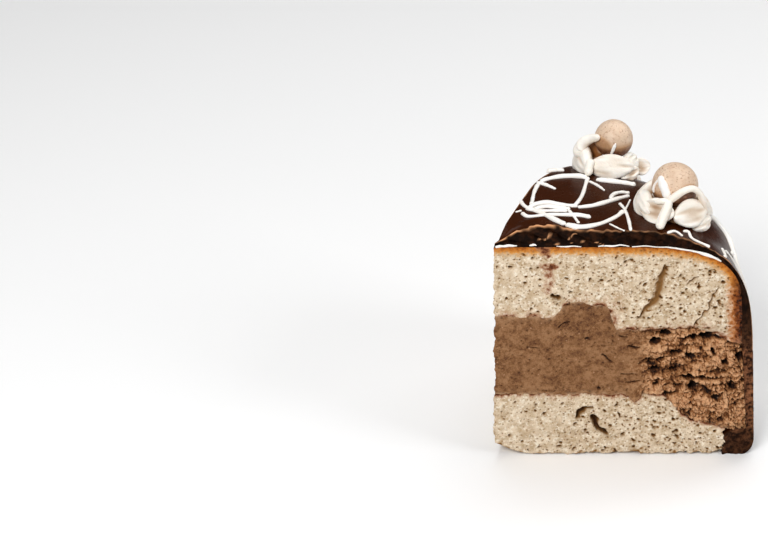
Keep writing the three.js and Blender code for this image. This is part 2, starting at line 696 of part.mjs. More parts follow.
function borderPoint(target, along, around) {
  const phi = blend(borderStart, borderEnd, along);
  const shell = (along * shellCount) % 1;
  const swell = along === 1 ? 0.75 : 0.72 + 0.28 * Math.sin(Math.PI * Math.pow(shell, 0.7));
  const turn = 2 * Math.PI * around;
  const ridge = 1 + 0.06 * Math.cos(shellRidges * turn + 2.5 * shell);
  const across = shellDepth * (0.42 + 0.58 * swell * ridge * Math.cos(turn));
  const up = shellHeight * (0.4 + 0.6 * swell * ridge * Math.sin(turn));
  const reach = borderWall(phi) + Math.max(across, 0);
  return target.set(reach * Math.cos(phi), reach * Math.sin(phi), Math.max(up, 0));
}

function borderSolid() {
  const steps = shellCount * 5;
  const sides = 12;
  const middle = (along) => {
    const phi = blend(borderStart, borderEnd, along);
    const reach = borderWall(phi) + 0.4 * shellDepth;
    return new THREE.Vector3(reach * Math.cos(phi), reach * Math.sin(phi), 0.4 * shellHeight);
  };
  const side = new ParametricGeometry(
    (along, around, target) => borderPoint(target, along, around % 1),
    steps,
    sides,
  );
  const startCap = new ParametricGeometry((around, inward, target) => {
    const rim = borderPoint(new THREE.Vector3(), 0, around % 1);
    return target.copy(rim).lerp(middle(0), inward);
  }, sides, 1);
  const endCap = new ParametricGeometry((inward, around, target) => {
    const rim = borderPoint(new THREE.Vector3(), 1, around % 1);
    return target.copy(rim).lerp(middle(1), inward);
  }, 1, sides);
  return solidOf(weld([side, startCap, endCap]));
}

// Cracks and holes of the crumb, cut into the solids from the front.
function crackTool() {
  const outline = new THREE.Shape();
  outline.moveTo(61.7, 83.5);
  outline.lineTo(60.2, 77);
  outline.lineTo(59.8, 69.7);
  outline.lineTo(55.5, 64.8);
  outline.lineTo(53.4, 61.3);
  outline.lineTo(59.3, 67.3);
  outline.lineTo(61.3, 69.5);
  outline.lineTo(60.9, 73.4);
  outline.lineTo(61.6, 77);
  const tool = new THREE.ExtrudeGeometry(outline, { depth: 5.5, bevelEnabled: false });
  tool.rotateX(Math.PI / 2);
  tool.translate(0, 3.5, 0);
  return solidOf(weld([tool]));
}

function holeTool(x, z, radius) {
  const tool = new THREE.SphereGeometry(radius, 8, 6);
  tool.translate(x, 0, z);
  return solidOf(weld([tool]));
}

function ballSolid(spec, extra) {
  const tool = new THREE.SphereGeometry(spec.radius + extra, 16, 11);
  tool.rotateX(Math.PI / 2);
  tool.translate(spec.x, spec.y, spec.z);
  return solidOf(weld([tool]));
}

const bottomSponge = solidOf(block(bottomSpongePoint, bottomSteps, 4, angleSteps))
  .subtract(holeTool(34, 19.5, 2.8))
  .subtract(holeTool(39, 15.8, 2.2))
  .subtract(holeTool(42, 10.5, 1.6));
const filling = solidOf(block(fillingPoint, stationSteps, 9, angleSteps));
const topSponge = solidOf(block(topSpongePoint, stationSteps, 6, angleSteps)).subtract(crackTool());
let glaze = solidOf(block(glazePoint, glazeSteps, 2, angleSteps));
topStrands.forEach((strand) => {
  glaze = glaze.add(strandSolid(strand, planPoint, 0));
});
fallStrands.forEach((strand) => {
  glaze = glaze.add(strandSolid(strand, fallPoint, 0));
});
glaze = filled(glaze.simplify(sliver));

const looks = {
  sponge: { color: 0xd9c9b0, roughness: 0.9 },
  filling: { color: 0x7a5340, roughness: 0.75 },
  glaze: { color: 0x24130e, roughness: 0.25 },
  cream: { color: 0xf1e6dc, roughness: 0.5 },
  chestnut: { color: 0xd6b294, roughness: 0.55 },
};

const pieces = [
  ['bottom_sponge', bottomSponge, looks.sponge],
  ['chocolate_filling', filling, looks.filling],
  ['top_sponge', topSponge, looks.sponge],
  ['chocolate_glaze', glaze, looks.glaze],
  ['base_border', borderSolid(), looks.cream],
];
const [backRosette, frontRosette] = rosettes;
const [backBall, frontBall] = balls;
const onBall = (degrees, upward) => ballSkin(frontBall, degrees, upward);
const backCream = filled(rosetteSolid(backRosette).subtract(ballSolid(backBall, gap)).simplify(creamSliver));
const frontRoom = strandSolid({ ...ballRibbon, line: ribbonRoom }, onBall, gap);
const frontCream = filled(rosetteSolid(frontRosette)
  .subtract(ballSolid(frontBall, gap))
  .subtract(frontRoom)
  .simplify(creamSliver));
const frontChestnut = ballSolid(frontBall, 0).add(strandSolid(ballRibbon, onBall, 0));
pieces.push([backRosette.name, backCream, looks.cream]);
pieces.push([frontRosette.name, frontCream, looks.cream]);
pieces.push([backBall.name, ballSolid(backBall, 0), looks.chestnut]);
pieces.push([frontBall.name, frontChestnut, looks.chestnut]);

// The group stands with the middle of its footprint at the origin.
const cake = new THREE.Group();
cake.name = 'chocolate_chestnut_cake_slice';
pieces.forEach(([name, solid, look]) => {
  const mesh = new THREE.Mesh(geometryOf(solid), new THREE.MeshStandardMaterial({ ...look, name }));
  mesh.name = name;
  cake.add(mesh);
});
const box = new THREE.Box3().setFromObject(cake);
const middle = box.getCenter(new THREE.Vector3());
cake.children.forEach((mesh) => mesh.geometry.translate(-middle.x, -middle.y, -box.min.z));

export default cake;
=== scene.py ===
# %% [markdown]
# # A slice of chocolate chestnut cake
# The slice is a wedge of two sponge layers with a chocolate filling between them, under a domed
# dark glaze with white chocolate strands. Two piped rosettes of cream carry a chestnut ball each.
# The solid model comes first, as a fixed frame. Every piece made here stands in its place, at its
# size, so nothing has to be fitted afterwards.

# %% Load the frame
import math

import bpy
import numpy as np
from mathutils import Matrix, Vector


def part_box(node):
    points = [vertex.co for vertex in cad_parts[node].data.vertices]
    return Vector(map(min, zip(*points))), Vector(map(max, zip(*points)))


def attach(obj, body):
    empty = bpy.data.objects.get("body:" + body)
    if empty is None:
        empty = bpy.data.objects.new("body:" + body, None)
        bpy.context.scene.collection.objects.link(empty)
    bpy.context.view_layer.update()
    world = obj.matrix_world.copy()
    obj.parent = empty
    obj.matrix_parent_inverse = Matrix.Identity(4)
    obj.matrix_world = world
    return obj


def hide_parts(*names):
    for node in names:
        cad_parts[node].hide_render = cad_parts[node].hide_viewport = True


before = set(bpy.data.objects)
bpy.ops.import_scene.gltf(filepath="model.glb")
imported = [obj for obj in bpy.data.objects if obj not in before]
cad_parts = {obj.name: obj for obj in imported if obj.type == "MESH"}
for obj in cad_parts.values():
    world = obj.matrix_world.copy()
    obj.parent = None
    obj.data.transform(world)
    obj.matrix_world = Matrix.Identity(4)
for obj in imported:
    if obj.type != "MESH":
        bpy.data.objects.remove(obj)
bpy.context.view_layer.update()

# %% [markdown]
# ## Sizes
# All pieces are worked out from one section of the cake, in millimetres, seen from the slice's tip:
# rho is the distance from the tip edge and phi the angle from the front cut. A section could also be
# drawn by hand as a curve and spun, but formulas keep the layers, the glaze and the toppings together.

# %% Sizes of the wedge
cake_radius = 110
cut_length = 101.4
wedge = math.radians(69.5)
second_cut_bow, second_cut_turn, turn_reach = 1.2, 8.5, (0.42, 0.85)
tip_lean, tip_nicks, nick_reach = 2.3, 0.4, 3
shoulder_swell, swell_below = 0.07, 0.25
swell_start, swell_end, swell_heights = (7, 22), (38, 60), (60, 82)
glaze_top = 96.5
seam = 0.02
tip_spread = cut_length * math.cos(wedge / 2)
tip_offset = math.sqrt(cake_radius**2 - cut_length**2 + tip_spread**2) - tip_spread

ball_1 = {"centre": (47, 64.5, 105.9), "radius": 7.6}
ball_2 = {"centre": (67, 25, 105.2), "radius": 8.9}
low, high = (np.array(corner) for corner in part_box("ball_1"))
tip_place = (low + high) / 2 * 1000 - np.array(ball_1["centre"])
print("the tip of the slice stands at", tip_place.round(2), "mm in the frame")


def ease(start, end, value):
    """Smooth step: 0 up to start, 1 from end on, 3t² - 2t³ between them."""
    t = np.clip((value - start) / (end - start), 0, 1)
    return t * t * (3 - 2 * t)


def blend(start, end, share):
    """Straight mix: start at share 0, end at share 1."""
    return start + (end - start) * share


def bell(value, middle, width):
    """Bell curve: 1 at the middle, falling as exp(-(distance / width)²)."""
    return np.exp(-(((value - middle) / width) ** 2))


def steps(count):
    """Equal steps from 0 to 1."""
    return np.linspace(0, 1, count)


# %% [markdown]
# ## Uneven fields
# Crumb is never even. Two fields give that. The first is a cell field, the distance to the nearest of
# many scattered points, which makes pores and lumps. Noise textures could do it in the material alone,
# but then pores would be painted on and vanish in the mesh.


# %% The cell field
def chance(i, j, seed):
    """A fixed random number from 0 to 1 for each pair of whole numbers: the fraction of a large
    sine, so that the same place always gets the same number."""
    large = np.sin(i * 127.1 + j * 311.7 + seed * 74.7) * 43758.5453
    return large - np.floor(large)


def cells(across, up, wide, tall, seed):
    """One random point per wide × tall cell. Gives the distance to the nearest point, in cells, that
    point's random number, and how much further off the second nearest is, which is 0 between two."""
    p, q = across / wide, up / tall
    column, row = np.floor(p), np.floor(q)
    near, second, lot = np.full(p.shape, 9.0), np.full(p.shape, 9.0), np.zeros(p.shape)
    for i in (-1, 0, 1):
        for j in (-1, 0, 1):
            a, b = column + i, row + j
            away = np.hypot(p - a - chance(a, b, seed), q - b - chance(a, b, seed + 1))
            lot = np.where(away < near, chance(a, b, seed + 2), lot)
            second = np.minimum(second, np.maximum(near, away))
            near = np.minimum(near, away)
    return near, lot, second - near


print("mean of the cell field:", cells(*np.mgrid[0:40:0.3, 0:40:0.3], 2, 2, 1)[0].mean().round(2))

# %% [markdown]
# ### Soft hills
# The second field is a wave field, soft random hills. A few of them in different sizes, added up, look
# like something torn, or dragged by a knife. Along an edge, waves in one direction are enough.


# %% The wave field
def waves(across, up, wide, tall, seed):
    """Soft hills from -1 to 1: random heights at the corners of wide × tall cells, eased between."""
    p, q = across / wide, up / tall
    column, row = np.floor(p), np.floor(q)
    s, t = ease(0, 1, p - column), ease(0, 1, q - row)
    near = blend(chance(column, row, seed), chance(column + 1, row, seed), s)
    far = blend(chance(column, row + 1, seed), chance(column + 1, row + 1, seed), s)
    return 2 * blend(near, far, t) - 1


def layered(across, up, *layers):
    """Sum of wave fields, each a (strength, width, height, seed)."""
    return sum(strength * waves(across, up, wide, tall, seed) for strength, wide, tall, seed in layers)


def ripples(along, *layers):
    """Sum of waves along one line, each a (strength, length, seed)."""
    return sum(strength * waves(along, 0 * along, long, 1, seed) for strength, long, seed in layers)


print("a ripple at six places:", ripples(np.arange(6.0), (1, 4, 1)).round(2))

# %% [markdown]
# ### Grooves
# Tears, holes, smears and ledges are lines with a half width at each point. The distance from such a
# line gives the depth, so one function serves them all.


# %% Grooves along lines
def groove(rho, z, line, deep):
    """Depth of a groove along a line of (rho, z, half width) points: deep in its middle, falling as
    1 - (distance / half width)² to 0 at its sides."""
    depth = np.zeros(np.broadcast(rho, z).shape)
    for (rho_a, z_a, half_a), (rho_b, z_b, half_b) in zip(line, line[1:] or line):
        run, rise = rho_b - rho_a, z_b - z_a
        along = ((rho - rho_a) * run + (z - z_a) * rise) / max(run**2 + rise**2, 1e-6)
        along = np.clip(along, 0, 1)
        away = np.hypot(rho - rho_a - along * run, z - z_a - along * rise)
        inside = 1 - (away / blend(half_a, half_b, along)) ** 2
        depth = np.maximum(depth, deep * np.clip(inside, 0, 1))
    return depth


print("halfway to a groove's side:", groove(np.array([1]), np.array([0.5]), [(0, 0, 1), (2, 0, 1)], 1))

# %% [markdown]
# ## From section to space
# Every piece is drawn in the section and then turned round the tip edge by the same function, so the
# layers lean, bow and swell together.


# %% From section to space
def wall_scale(phi, z):
    """Reach of the wall at angle phi over its reach at the front cut: the distance from the tip to a
    circle round the cake's centre. Behind the cut the shoulder stands out a little more."""
    along = tip_offset * np.cos(phi - wedge / 2)
    across = tip_offset * np.sin(phi - wedge / 2)
    reach = np.sqrt(cake_radius**2 - across**2) - along
    degrees = np.degrees(phi)
    swell = shoulder_swell * (ease(*swell_start, degrees) - ease(*swell_end, degrees))
    return reach / cut_length * (1 + swell * blend(swell_below, 1, ease(*swell_heights, z)))


def place(rho, z, share, front=0.0, back=0.0):
    """Point of the slice: phi goes from the front cut to the second cut with share, each cut pushed
    in by front or back, and rho and phi are turned into x and y. The tip leans out with height and
    has random nicks."""
    safe = np.maximum(rho, 0.01)
    first = np.arcsin(np.clip(front / safe, -0.6, 0.6))
    way = np.minimum(safe / cut_length, 1)
    bow = second_cut_bow * np.sin(np.pi * way) - second_cut_turn * ease(*turn_reach, way)
    last = wedge + bow / safe - np.arcsin(np.clip(back / safe, -0.4, 0.4))
    phi = blend(first, last, share)
    reach = rho * wall_scale(phi, z)
    lean = tip_lean * (z / glaze_top) * (1 - np.minimum(rho / cut_length, 1))
    nicks = ripples(z, (1, 4.3, 14), (0.7, 1.7, 15), (0.5, 0.8, 16))
    lean = lean - tip_nicks * nicks * np.exp(-rho / nick_reach)
    spot = np.broadcast_arrays(reach * np.cos(phi) - lean, reach * np.sin(phi), z)
    return np.stack(spot, axis=-1)


def from_cut(share):
    """Share of the wedge between a place and the nearer cut."""
    return np.minimum(share, 1 - share)


def fading(share, reach):
    """1 on both cuts, eased to 0 at a share of reach behind them."""
    return 1 - ease(0, reach, from_cut(share))


print("reach of the wall between the cuts, over that at a cut:", wall_scale(wedge / 2, 0).round(3))

# %% [markdown]
# ## Rounded shoulders
# The cake was baked and glazed as a dome, so sponge and glaze both have a flat top that rolls over
# into the wall. A superellipse gives that roll: rounder than a box, fuller than a quarter circle.

# %% The two shoulders
sponge_shoulder = {"reach": 42.7, "drop": 26, "power": 3, "wall": 92.1, "foot": 66, "slope": 0.08}
glaze_shoulder = {"reach": 51.5, "drop": 49.5, "power": 3.22, "wall": 97.7, "foot": 47, "slope": 0.08}
glaze_tip_drop, glaze_tip_reach = 2.5, 14


def shoulder_point(shoulder, turn):
    """Superellipse from the flat top (turn 0) to the upright wall (turn 1): sine and cosine of the
    turn, each raised to 2 / power, scaled by reach and drop, on a wall that slopes out downwards."""
    angle = turn * np.pi / 2
    across = np.sin(angle) ** (2 / shoulder["power"])
    up = np.maximum(np.cos(angle), 0) ** (2 / shoulder["power"])
    z = shoulder["foot"] + shoulder["drop"] * up
    return wall_reach(shoulder, z) - shoulder["reach"] * (1 - across), z


def wall_reach(shoulder, z):
    """Reach of the wall below a shoulder, which slopes out downwards."""
    return shoulder["wall"] + shoulder["slope"] * (shoulder["foot"] - z)


def even_line(rho, z, count):
    """The same line with count points at equal steps of its length."""
    length = np.concatenate([[0], np.cumsum(np.hypot(np.diff(rho), np.diff(z)))])
    places = np.linspace(0, length[-1], count)
    return np.interp(places, length, rho), np.interp(places, length, z)


def dome_line(shoulder, end_height, count):
    """Flat top, shoulder and wall down to end_height as one line of count points."""
    rho, z = shoulder_point(shoulder, steps(900))
    rho = np.concatenate([[0], rho, [wall_reach(shoulder, end_height)]])
    return even_line(rho, np.concatenate([z[:1], z, [end_height]]), count)


print("end of the glaze's flat top:", np.round(shoulder_point(glaze_shoulder, 0), 1))

# %% [markdown]
# ### The height of the glaze
# The toppings and the strands lie on the glaze, so its height is needed over any point of the plan.

# %% The height of the glaze
skin_rho, skin_z = shoulder_point(glaze_shoulder, steps(2000))


def skin_height(rho):
    """Height of the glaze over a distance from the tip: flat, a little lower at the tip, and read
    off the shoulder's line beyond the flat."""
    sunk = glaze_tip_drop * (1 - ease(0, glaze_tip_reach, rho))
    return np.interp(rho, skin_rho, skin_z) - sunk


def skin_at(x, y):
    """Height of the glaze over a plan point."""
    return skin_height(np.hypot(x, y) / wall_scale(np.arctan2(y, x), glaze_top))


print("glaze height over the rosettes:", skin_at(46, 64).round(1), skin_at(66.5, 25).round(1))

# %% [markdown]
# ## From grids to meshes
# Each piece is a few patches, and each patch is a grid of points from a function of two parameters.
# Patches of one piece share their border points, so merging equal points closes the shell. Numbers
# such as the depth of a pore go along as attributes, which the materials read.


# %% Patches to one shell
def grid_faces(rows, columns, first):
    """Four corner numbers of every cell of a rows × columns grid whose points count from first."""
    number = first + np.arange(rows * columns).reshape(rows, columns)
    corners = [number[:-1, :-1], number[1:, :-1], number[1:, 1:], number[:-1, 1:]]
    return np.stack([corner.ravel() for corner in corners], axis=1)


def shell(name, patches, sharp):
    """Joins patches, pairs of a grid of points in millimetres and a dict of numbers per point, into
    one mesh in metres. A patch's normal is its first direction crossed with its second."""
    points = np.concatenate([grid.reshape(-1, 3) for grid, numbers in patches])
    starts = np.cumsum([0] + [grid[..., 0].size for grid, numbers in patches])
    quads = [grid_faces(*grid.shape[:2], start) for (grid, numbers), start in zip(patches, starts)]
    keys = np.round(points * 1e4).astype(np.int64)
    kept, merged = np.unique(keys, axis=0, return_index=True, return_inverse=True)[1:]
    corners = merged.reshape(-1)[np.concatenate(quads)]
    differs = corners != np.roll(corners, -1, axis=1)
    corners, differs = corners[differs.sum(1) >= 3], differs[differs.sum(1) >= 3]
    mesh = bpy.data.meshes.new(name)
    mesh.vertices.add(len(kept))
    mesh.vertices.foreach_set("co", ((points[kept] + tip_place) / 1000).ravel())
    mesh.loops.add(int(differs.sum()))
    mesh.loops.foreach_set("vertex_index", corners[differs])
    mesh.polygons.add(len(corners))
    mesh.polygons.foreach_set("loop_start", np.cumsum(differs.sum(1)) - differs.sum(1))
    for label in patches[0][1]:
        values = np.concatenate([numbers[label].ravel() for grid, numbers in patches])
        layer = mesh.attributes.new(label, "FLOAT", "POINT")
        layer.data.foreach_set("value", values[kept].astype(np.float32))
    mesh.polygons.foreach_set("use_smooth", np.ones(len(corners), bool))
    mesh.update(calc_edges=True)
    mesh.set_sharp_from_angle(angle=math.radians(sharp))
    return mesh


print("a grid of 3 by 4 points has", len(grid_faces(3, 4, 0)), "faces")

# %% [markdown]
# ### Blocks and pieces
# A layer of the cake is a block bent into a wedge. Only its sides are made, as five grids, because
# nothing of its inside can be seen. Every finished piece then enters the scene in the same way.


# %% Blocks and pieces
def block(point_at, u, v, w):
    """Six-sided piece of the slice without its tip side, which is one edge: u runs outward, v up and
    w round the wedge. point_at gives points and numbers for three arrays of equal shape."""

    def face(first, second, order):
        """Grid of first by second, with the order in which they and a constant stand for u, v, w."""
        a, b = np.meshgrid(first, second, indexing="ij")
        return point_at(*order(a, b, np.ones_like(a)))

    return [
        face(u, w, lambda a, b, c: (a, c * v[-1], b)),
        face(w, u, lambda a, b, c: (b, c * v[0], a)),
        face(u, v, lambda a, b, c: (a, b, c * w[0])),
        face(v, u, lambda a, b, c: (b, a, c * w[-1])),
        face(w, v, lambda a, b, c: (c * u[-1], b, a)),
    ]


def add_piece(name, patches, material, slot, *nodes, sharp=55):
    """Joins patches into a piece on the root body, in place of CAD nodes, with its material. The slot
    is not used.
    """
    mesh = shell(name, patches, sharp)
    mesh.materials.append(material)
    piece = bpy.data.objects.new(name, mesh)
    bpy.context.scene.collection.objects.link(piece)
    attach(piece, "root")
    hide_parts(*nodes)
    mesh.calc_loop_triangles()
    print(name, "has", len(mesh.loop_triangles), "triangles")


# %% [markdown]
# ## Materials
# Every finish is a small tree of nodes. A few helpers keep the trees readable: one adds a node and
# joins its inputs, one mixes two colours, one turns a number into a colour. Colours are written as
# they look on a screen, from 0 to 255, and turned into linear light.


# %% Nodes and colours
def screen(red, green, blue):
    """Linear colour of screen numbers: the inverse of the screen's gamma curve."""
    part = np.array([red, green, blue]) / 255
    linear = np.where(part <= 0.04045, part / 12.92, ((part + 0.055) / 1.055) ** 2.4)
    return (*linear.tolist(), 1.0)


def join(tree, node, inputs):
    """Joins a node's inputs to sockets, or sets them to values, by name or number."""
    for name, value in inputs.items():
        if isinstance(value, bpy.types.NodeSocket):
            tree.links.new(value, node.inputs[name])
        else:
            node.inputs[name].default_value = value


def put(tree, kind, inputs=None, **settings):
    """Adds a node with its own settings, and joins its inputs."""
    node = tree.nodes.new(kind)
    for name, value in settings.items():
        setattr(node, name, value)
    join(tree, node, inputs or {})
    return node


def mixed(tree, share, first, second):
    """Colour between first and second by share, which may be a number or a socket."""
    return put(tree, "ShaderNodeMix", {0: share, 6: first, 7: second}, data_type="RGBA").outputs[2]


def touched(tree, colour, share, *tint):
    """Colour mixed by share with a tint in screen numbers."""
    return mixed(tree, share, colour, screen(*tint))


def math_node(tree, how, first, second):
    """One sum, product or the like of two numbers or sockets."""
    return put(tree, "ShaderNodeMath", {0: first, 1: second}, operation=how).outputs[0]


def tinted(tree, number, *stops):
    """Colour ramp: stops are (number, red, green, blue) from low to high, in screen numbers."""
    ramp = put(tree, "ShaderNodeValToRGB", {0: number})
    elements = ramp.color_ramp.elements
    while len(elements) < len(stops):
        elements.new(0.5)
    for element, (spot, *colour) in zip(elements, stops):
        element.position, element.color = spot, screen(*colour)
    return ramp.outputs[0]


print("middle grey of a screen in linear light:", round(screen(128, 128, 128)[0], 3))

# %% [markdown]
# ### Fields in a material
# A finish also needs numbers that change over the piece: those that its mesh carries, and noise in
# the piece's own coordinates, which neither slides nor stretches when the piece is moved.

# %% Fields in a material
mid_noise = 0.5


def between(tree, number, low, high, to_low=0.0, to_high=1.0):
    """Number moved from the range low..high to to_low..to_high, and held there."""
    ranges = {0: number, 1: low, 2: high, 3: to_low, 4: to_high}
    return put(tree, "ShaderNodeMapRange", ranges).outputs[0]


def attribute(tree, name):
    """The number that the mesh carries under this name."""
    return put(tree, "ShaderNodeAttribute", attribute_name=name).outputs["Fac"]


def noise(tree, size, detail=4.0, rough=0.55):
    """Noise with hills of about size millimetres, on the piece's own coordinates."""
    spot = put(tree, "ShaderNodeTexCoord").outputs["Object"]
    settings = {"Vector": spot, "Scale": 1000 / size, "Detail": detail, "Roughness": rough}
    return put(tree, "ShaderNodeTexNoise", settings).outputs["Fac"]


def dots(tree, size):
    """Distance to scattered points about size millimetres apart, as a share of that."""
    spot = put(tree, "ShaderNodeTexCoord").outputs["Object"]
    settings = {"Vector": spot, "Scale": 1000 / size}
    return put(tree, "ShaderNodeTexVoronoi", settings).outputs["Distance"]


def ragged_number(tree, name, field, spread, most):
    """The mesh's number plus noise: a field within spread of its middle moves it by up to most."""
    uneven = between(tree, field, mid_noise - spread, mid_noise + spread, -most, most)
    return math_node(tree, "ADD", attribute(tree, name), uneven)


print("fields: the mesh's numbers, noise and dots")

# %% [markdown]
# ### Start and end of a finish
# Each finish starts as an empty material and ends with the same steps: colour and shine go to the
# shader, and a height field gives it bumps finer than the mesh. In cream, chocolate and chestnut paste
# light also goes in and comes out again, which softens their shadows.


# %% Start and end of a finish
def start_finish(name):
    """A new material with only a shader and its output; returns the material and its tree."""
    material = bpy.data.materials.new(name)
    material.use_nodes = True
    return material, material.node_tree


def soft_light(share, *depths):
    """Shader inputs for a share of light that goes in, by a depth in millimetres for each colour."""
    return {"Subsurface Weight": share, "Subsurface Radius": [depth / 1000 for depth in depths]}


def end_finish(material, look, height, depth):
    """Joins the inputs in look to the shader, and a height field as bumps of depth millimetres."""
    tree = material.node_tree
    bump = put(tree, "ShaderNodeBump", {"Height": height, "Distance": depth / 1000, "Strength": 1.0})
    join(tree, tree.nodes["Principled BSDF"], {**look, "Normal": bump.outputs[0]})
    print(material.name, "has", len(tree.nodes), "nodes")
    return material


print("light goes into cream by", soft_light(0.12, 2, 1.4, 1)["Subsurface Radius"], "metres")

# %% [markdown]
# ## Sponge
# The sponge is pale and matte with small round pores, a few torn cracks, and a thin baked crust that
# is orange under the top and dark brown at the wall. Pores come from the mesh's own numbers, so the
# shade painted into their hollows sits in them. The finest dots, too small for the mesh, are left to
# the material.


# %% Sponge finish
def sponge_finish():
    """Pale crumb with lighter and darker flecks, and over it the pores and tears with painted shade,
    the baked patches, the crust and the smears, each mixed in by its number on the mesh. Noise makes
    crust and smears ragged."""
    material, tree = start_finish("sponge crumb")
    crumb = tinted(tree, noise(tree, 3, 5, 0.6), (0.32, 188, 161, 126), (0.68, 245, 228, 203))
    crumb = touched(tree, crumb, between(tree, noise(tree, 1.5, 3), 0.5, 0.68, 0, 0.6), 168, 136, 96)
    crumb = touched(tree, crumb, between(tree, noise(tree, 1.1, 2), 0.54, 0.66, 0, 0.6), 255, 246, 228)
    crumb = touched(tree, crumb, between(tree, dots(tree, 1.4), 0.12, 0.34, 0.8, 0), 146, 112, 70)
    # Painted shade in pores and tears, darker where deeper; the same number carries the baked patches.
    pore = attribute(tree, "pore")
    pit = tinted(tree, pore, (0, 190, 160, 120), (0.5, 142, 102, 56), (1, 80, 48, 20))
    crumb = mixed(tree, between(tree, pore, 0, 0.5), crumb, pit)
    deep = ragged_number(tree, "crust", noise(tree, 1.8, 5, 0.65), 0.2, 0.32)
    top = tinted(tree, deep, (0, 150, 80, 22), (0.25, 200, 120, 38), (0.75, 216, 157, 84))
    side = tinted(tree, deep, (0.05, 46, 20, 8), (0.35, 116, 56, 18), (0.75, 190, 116, 54))
    crust = mixed(tree, attribute(tree, "side"), top, side)
    crust = touched(tree, crust, between(tree, noise(tree, 0.9, 3), 0.48, 0.68, 0, 0.5), 140, 74, 28)
    colour = mixed(tree, between(tree, deep, 0.6, 1.25, 1, 0), crumb, crust)
    stain = ragged_number(tree, "stain", noise(tree, 1.3, 4, 0.7), 0.2, 0.3)
    smear = tinted(tree, stain, (0.2, 198, 152, 118), (0.8, 134, 80, 48), (1, 84, 40, 20))
    colour = mixed(tree, between(tree, stain, 0.1, 0.8), colour, smear)
    look = {"Base Color": colour, "Roughness": 0.85, "Specular IOR Level": 0.2}
    return end_finish(material, look, noise(tree, 0.9, 5, 0.65), 0.6)


sponge = sponge_finish()

# %% [markdown]
# ### Pores and cracks
# On the front cut the larger holes and the tears are set one by one, because the eye knows them from
# the real slice. All the small pores are scattered by the cell field, on both cuts.

# %% Tears and holes of the sponges
top_tears = [
    (1.7, [(62.9, 84, 0.9), (62, 80, 1.6), (61.1, 76, 1.9), (60.7, 72.5, 1.7), (60.2, 69.7, 2.1),
           (58, 67, 1.5), (55.8, 64.6, 1), (54, 61.3, 0.5)]),
    (1.3, [(82.8, 75, 0.3), (82.4, 73, 0.5), (81, 70, 0.4), (80, 66, 0.4), (78.4, 63.8, 0.7),
           (77.4, 61.6, 0.4), (75.8, 60.4, 0.8), (74.9, 58.2, 0.4)]),
    (1.4, [(71.4, 76.5, 0.35), (73.1, 77.9, 0.5), (74.9, 79.7, 0.3)]),
    (1.5, [(83.2, 69, 0.4), (83.5, 67.3, 0.6), (85.2, 67.3, 0.45)]),
    (2.6, [(21.7, 71.3, 1), (24, 70.2, 1.1)]),
]
top_holes = [
    (28.4, 72.6, 0.8), (35.2, 78.1, 0.9), (11.6, 76.9, 0.8), (6.2, 83.6, 1), (1.4, 83.4, 0.7),
    (13.3, 82.6, 0.7), (48.2, 85.7, 0.7), (42.2, 77.6, 0.7), (13.8, 65.3, 0.7), (14, 87.2, 0.6),
    (63.8, 83.6, 0.8), (69, 80, 0.6), (55.6, 76, 0.8), (51, 73, 0.5), (66, 66.6, 0.7),
    (23.5, 67.6, 0.6),
]
bottom_tears = [
    (2.8, [(32.2, 17.2, 1.2), (32.7, 19.6, 1.5), (35, 21.4, 1.2), (38, 21.2, 0.7)]),
    (3.4, [(38, 17.2, 1.4), (39, 15.5, 1.8), (39.2, 13.8, 0.9), (40.3, 11.8, 1), (42.5, 10.9, 1.2),
           (43.5, 9.6, 1.1)]),
]
bottom_holes = [
    (8.2, 24.1, 0.7), (16.1, 22.5, 0.7), (19.2, 18.7, 0.8), (26.4, 23.4, 0.7), (31.5, 13.9, 0.9),
    (35.4, 11.2, 1), (47.3, 22.7, 0.9), (50, 9.4, 0.9), (17.5, 3.4, 0.9), (25.2, 3.9, 1),
    (3.2, 19.4, 0.6), (6.1, 8.9, 0.7), (48.6, 17.6, 0.7), (62, 12, 0.9), (71, 8, 1), (69.6, 10.4, 0.8),
    (31, 2.6, 0.9), (42.5, 1.8, 0.8), (80, 7.6, 0.7), (83, 9, 0.6), (78.6, 5.4, 0.8),
]
hole_depth = 1.8
print(len(top_tears + bottom_tears), "tears and", len(top_holes + bottom_holes), "holes set by hand")

# %% [markdown]
# ### The relief of cut sponge
# Pores come in three sizes, each with its own cells. The knife also drags the crumb a little, and the
# edges of tears are bent by waves, so that none of them looks drawn.

# %% The relief of cut sponge
pore_kinds = ((1.7, 0.36, 0.24, 0.45), (2.5, 0.5, 0.21, 0.75), (5, 0.45, 0.16, 1.2))
# Depths in millimetres at which pores and tears reach their darkest painted shade.
pore_dark, tear_dark = 0.9, 2.6


def pores(rho, z, seed):
    """Depth of scattered pores: for each kind, a (size, share, radius, depth), a share of the cells
    holds a pit that falls as 1 - (distance / radius)² from its middle."""
    warp = 0.4 * waves(rho, z, 1.3, 1.3, seed + 9)
    depth = np.zeros(rho.shape)
    for size, share, radius, deep in pore_kinds:
        near, lot = cells(rho + warp, z - warp, size, size * 0.85, seed + size)[:2]
        wide = radius * (0.6 + 0.5 * lot / share)
        many = share * blend(0.55, 1.2, ease(15, 60, rho))
        pit = deep * np.clip(1 - (near / wide) ** 2, 0, 1)
        depth = np.maximum(depth, np.where(lot < many, pit, 0))
    return depth


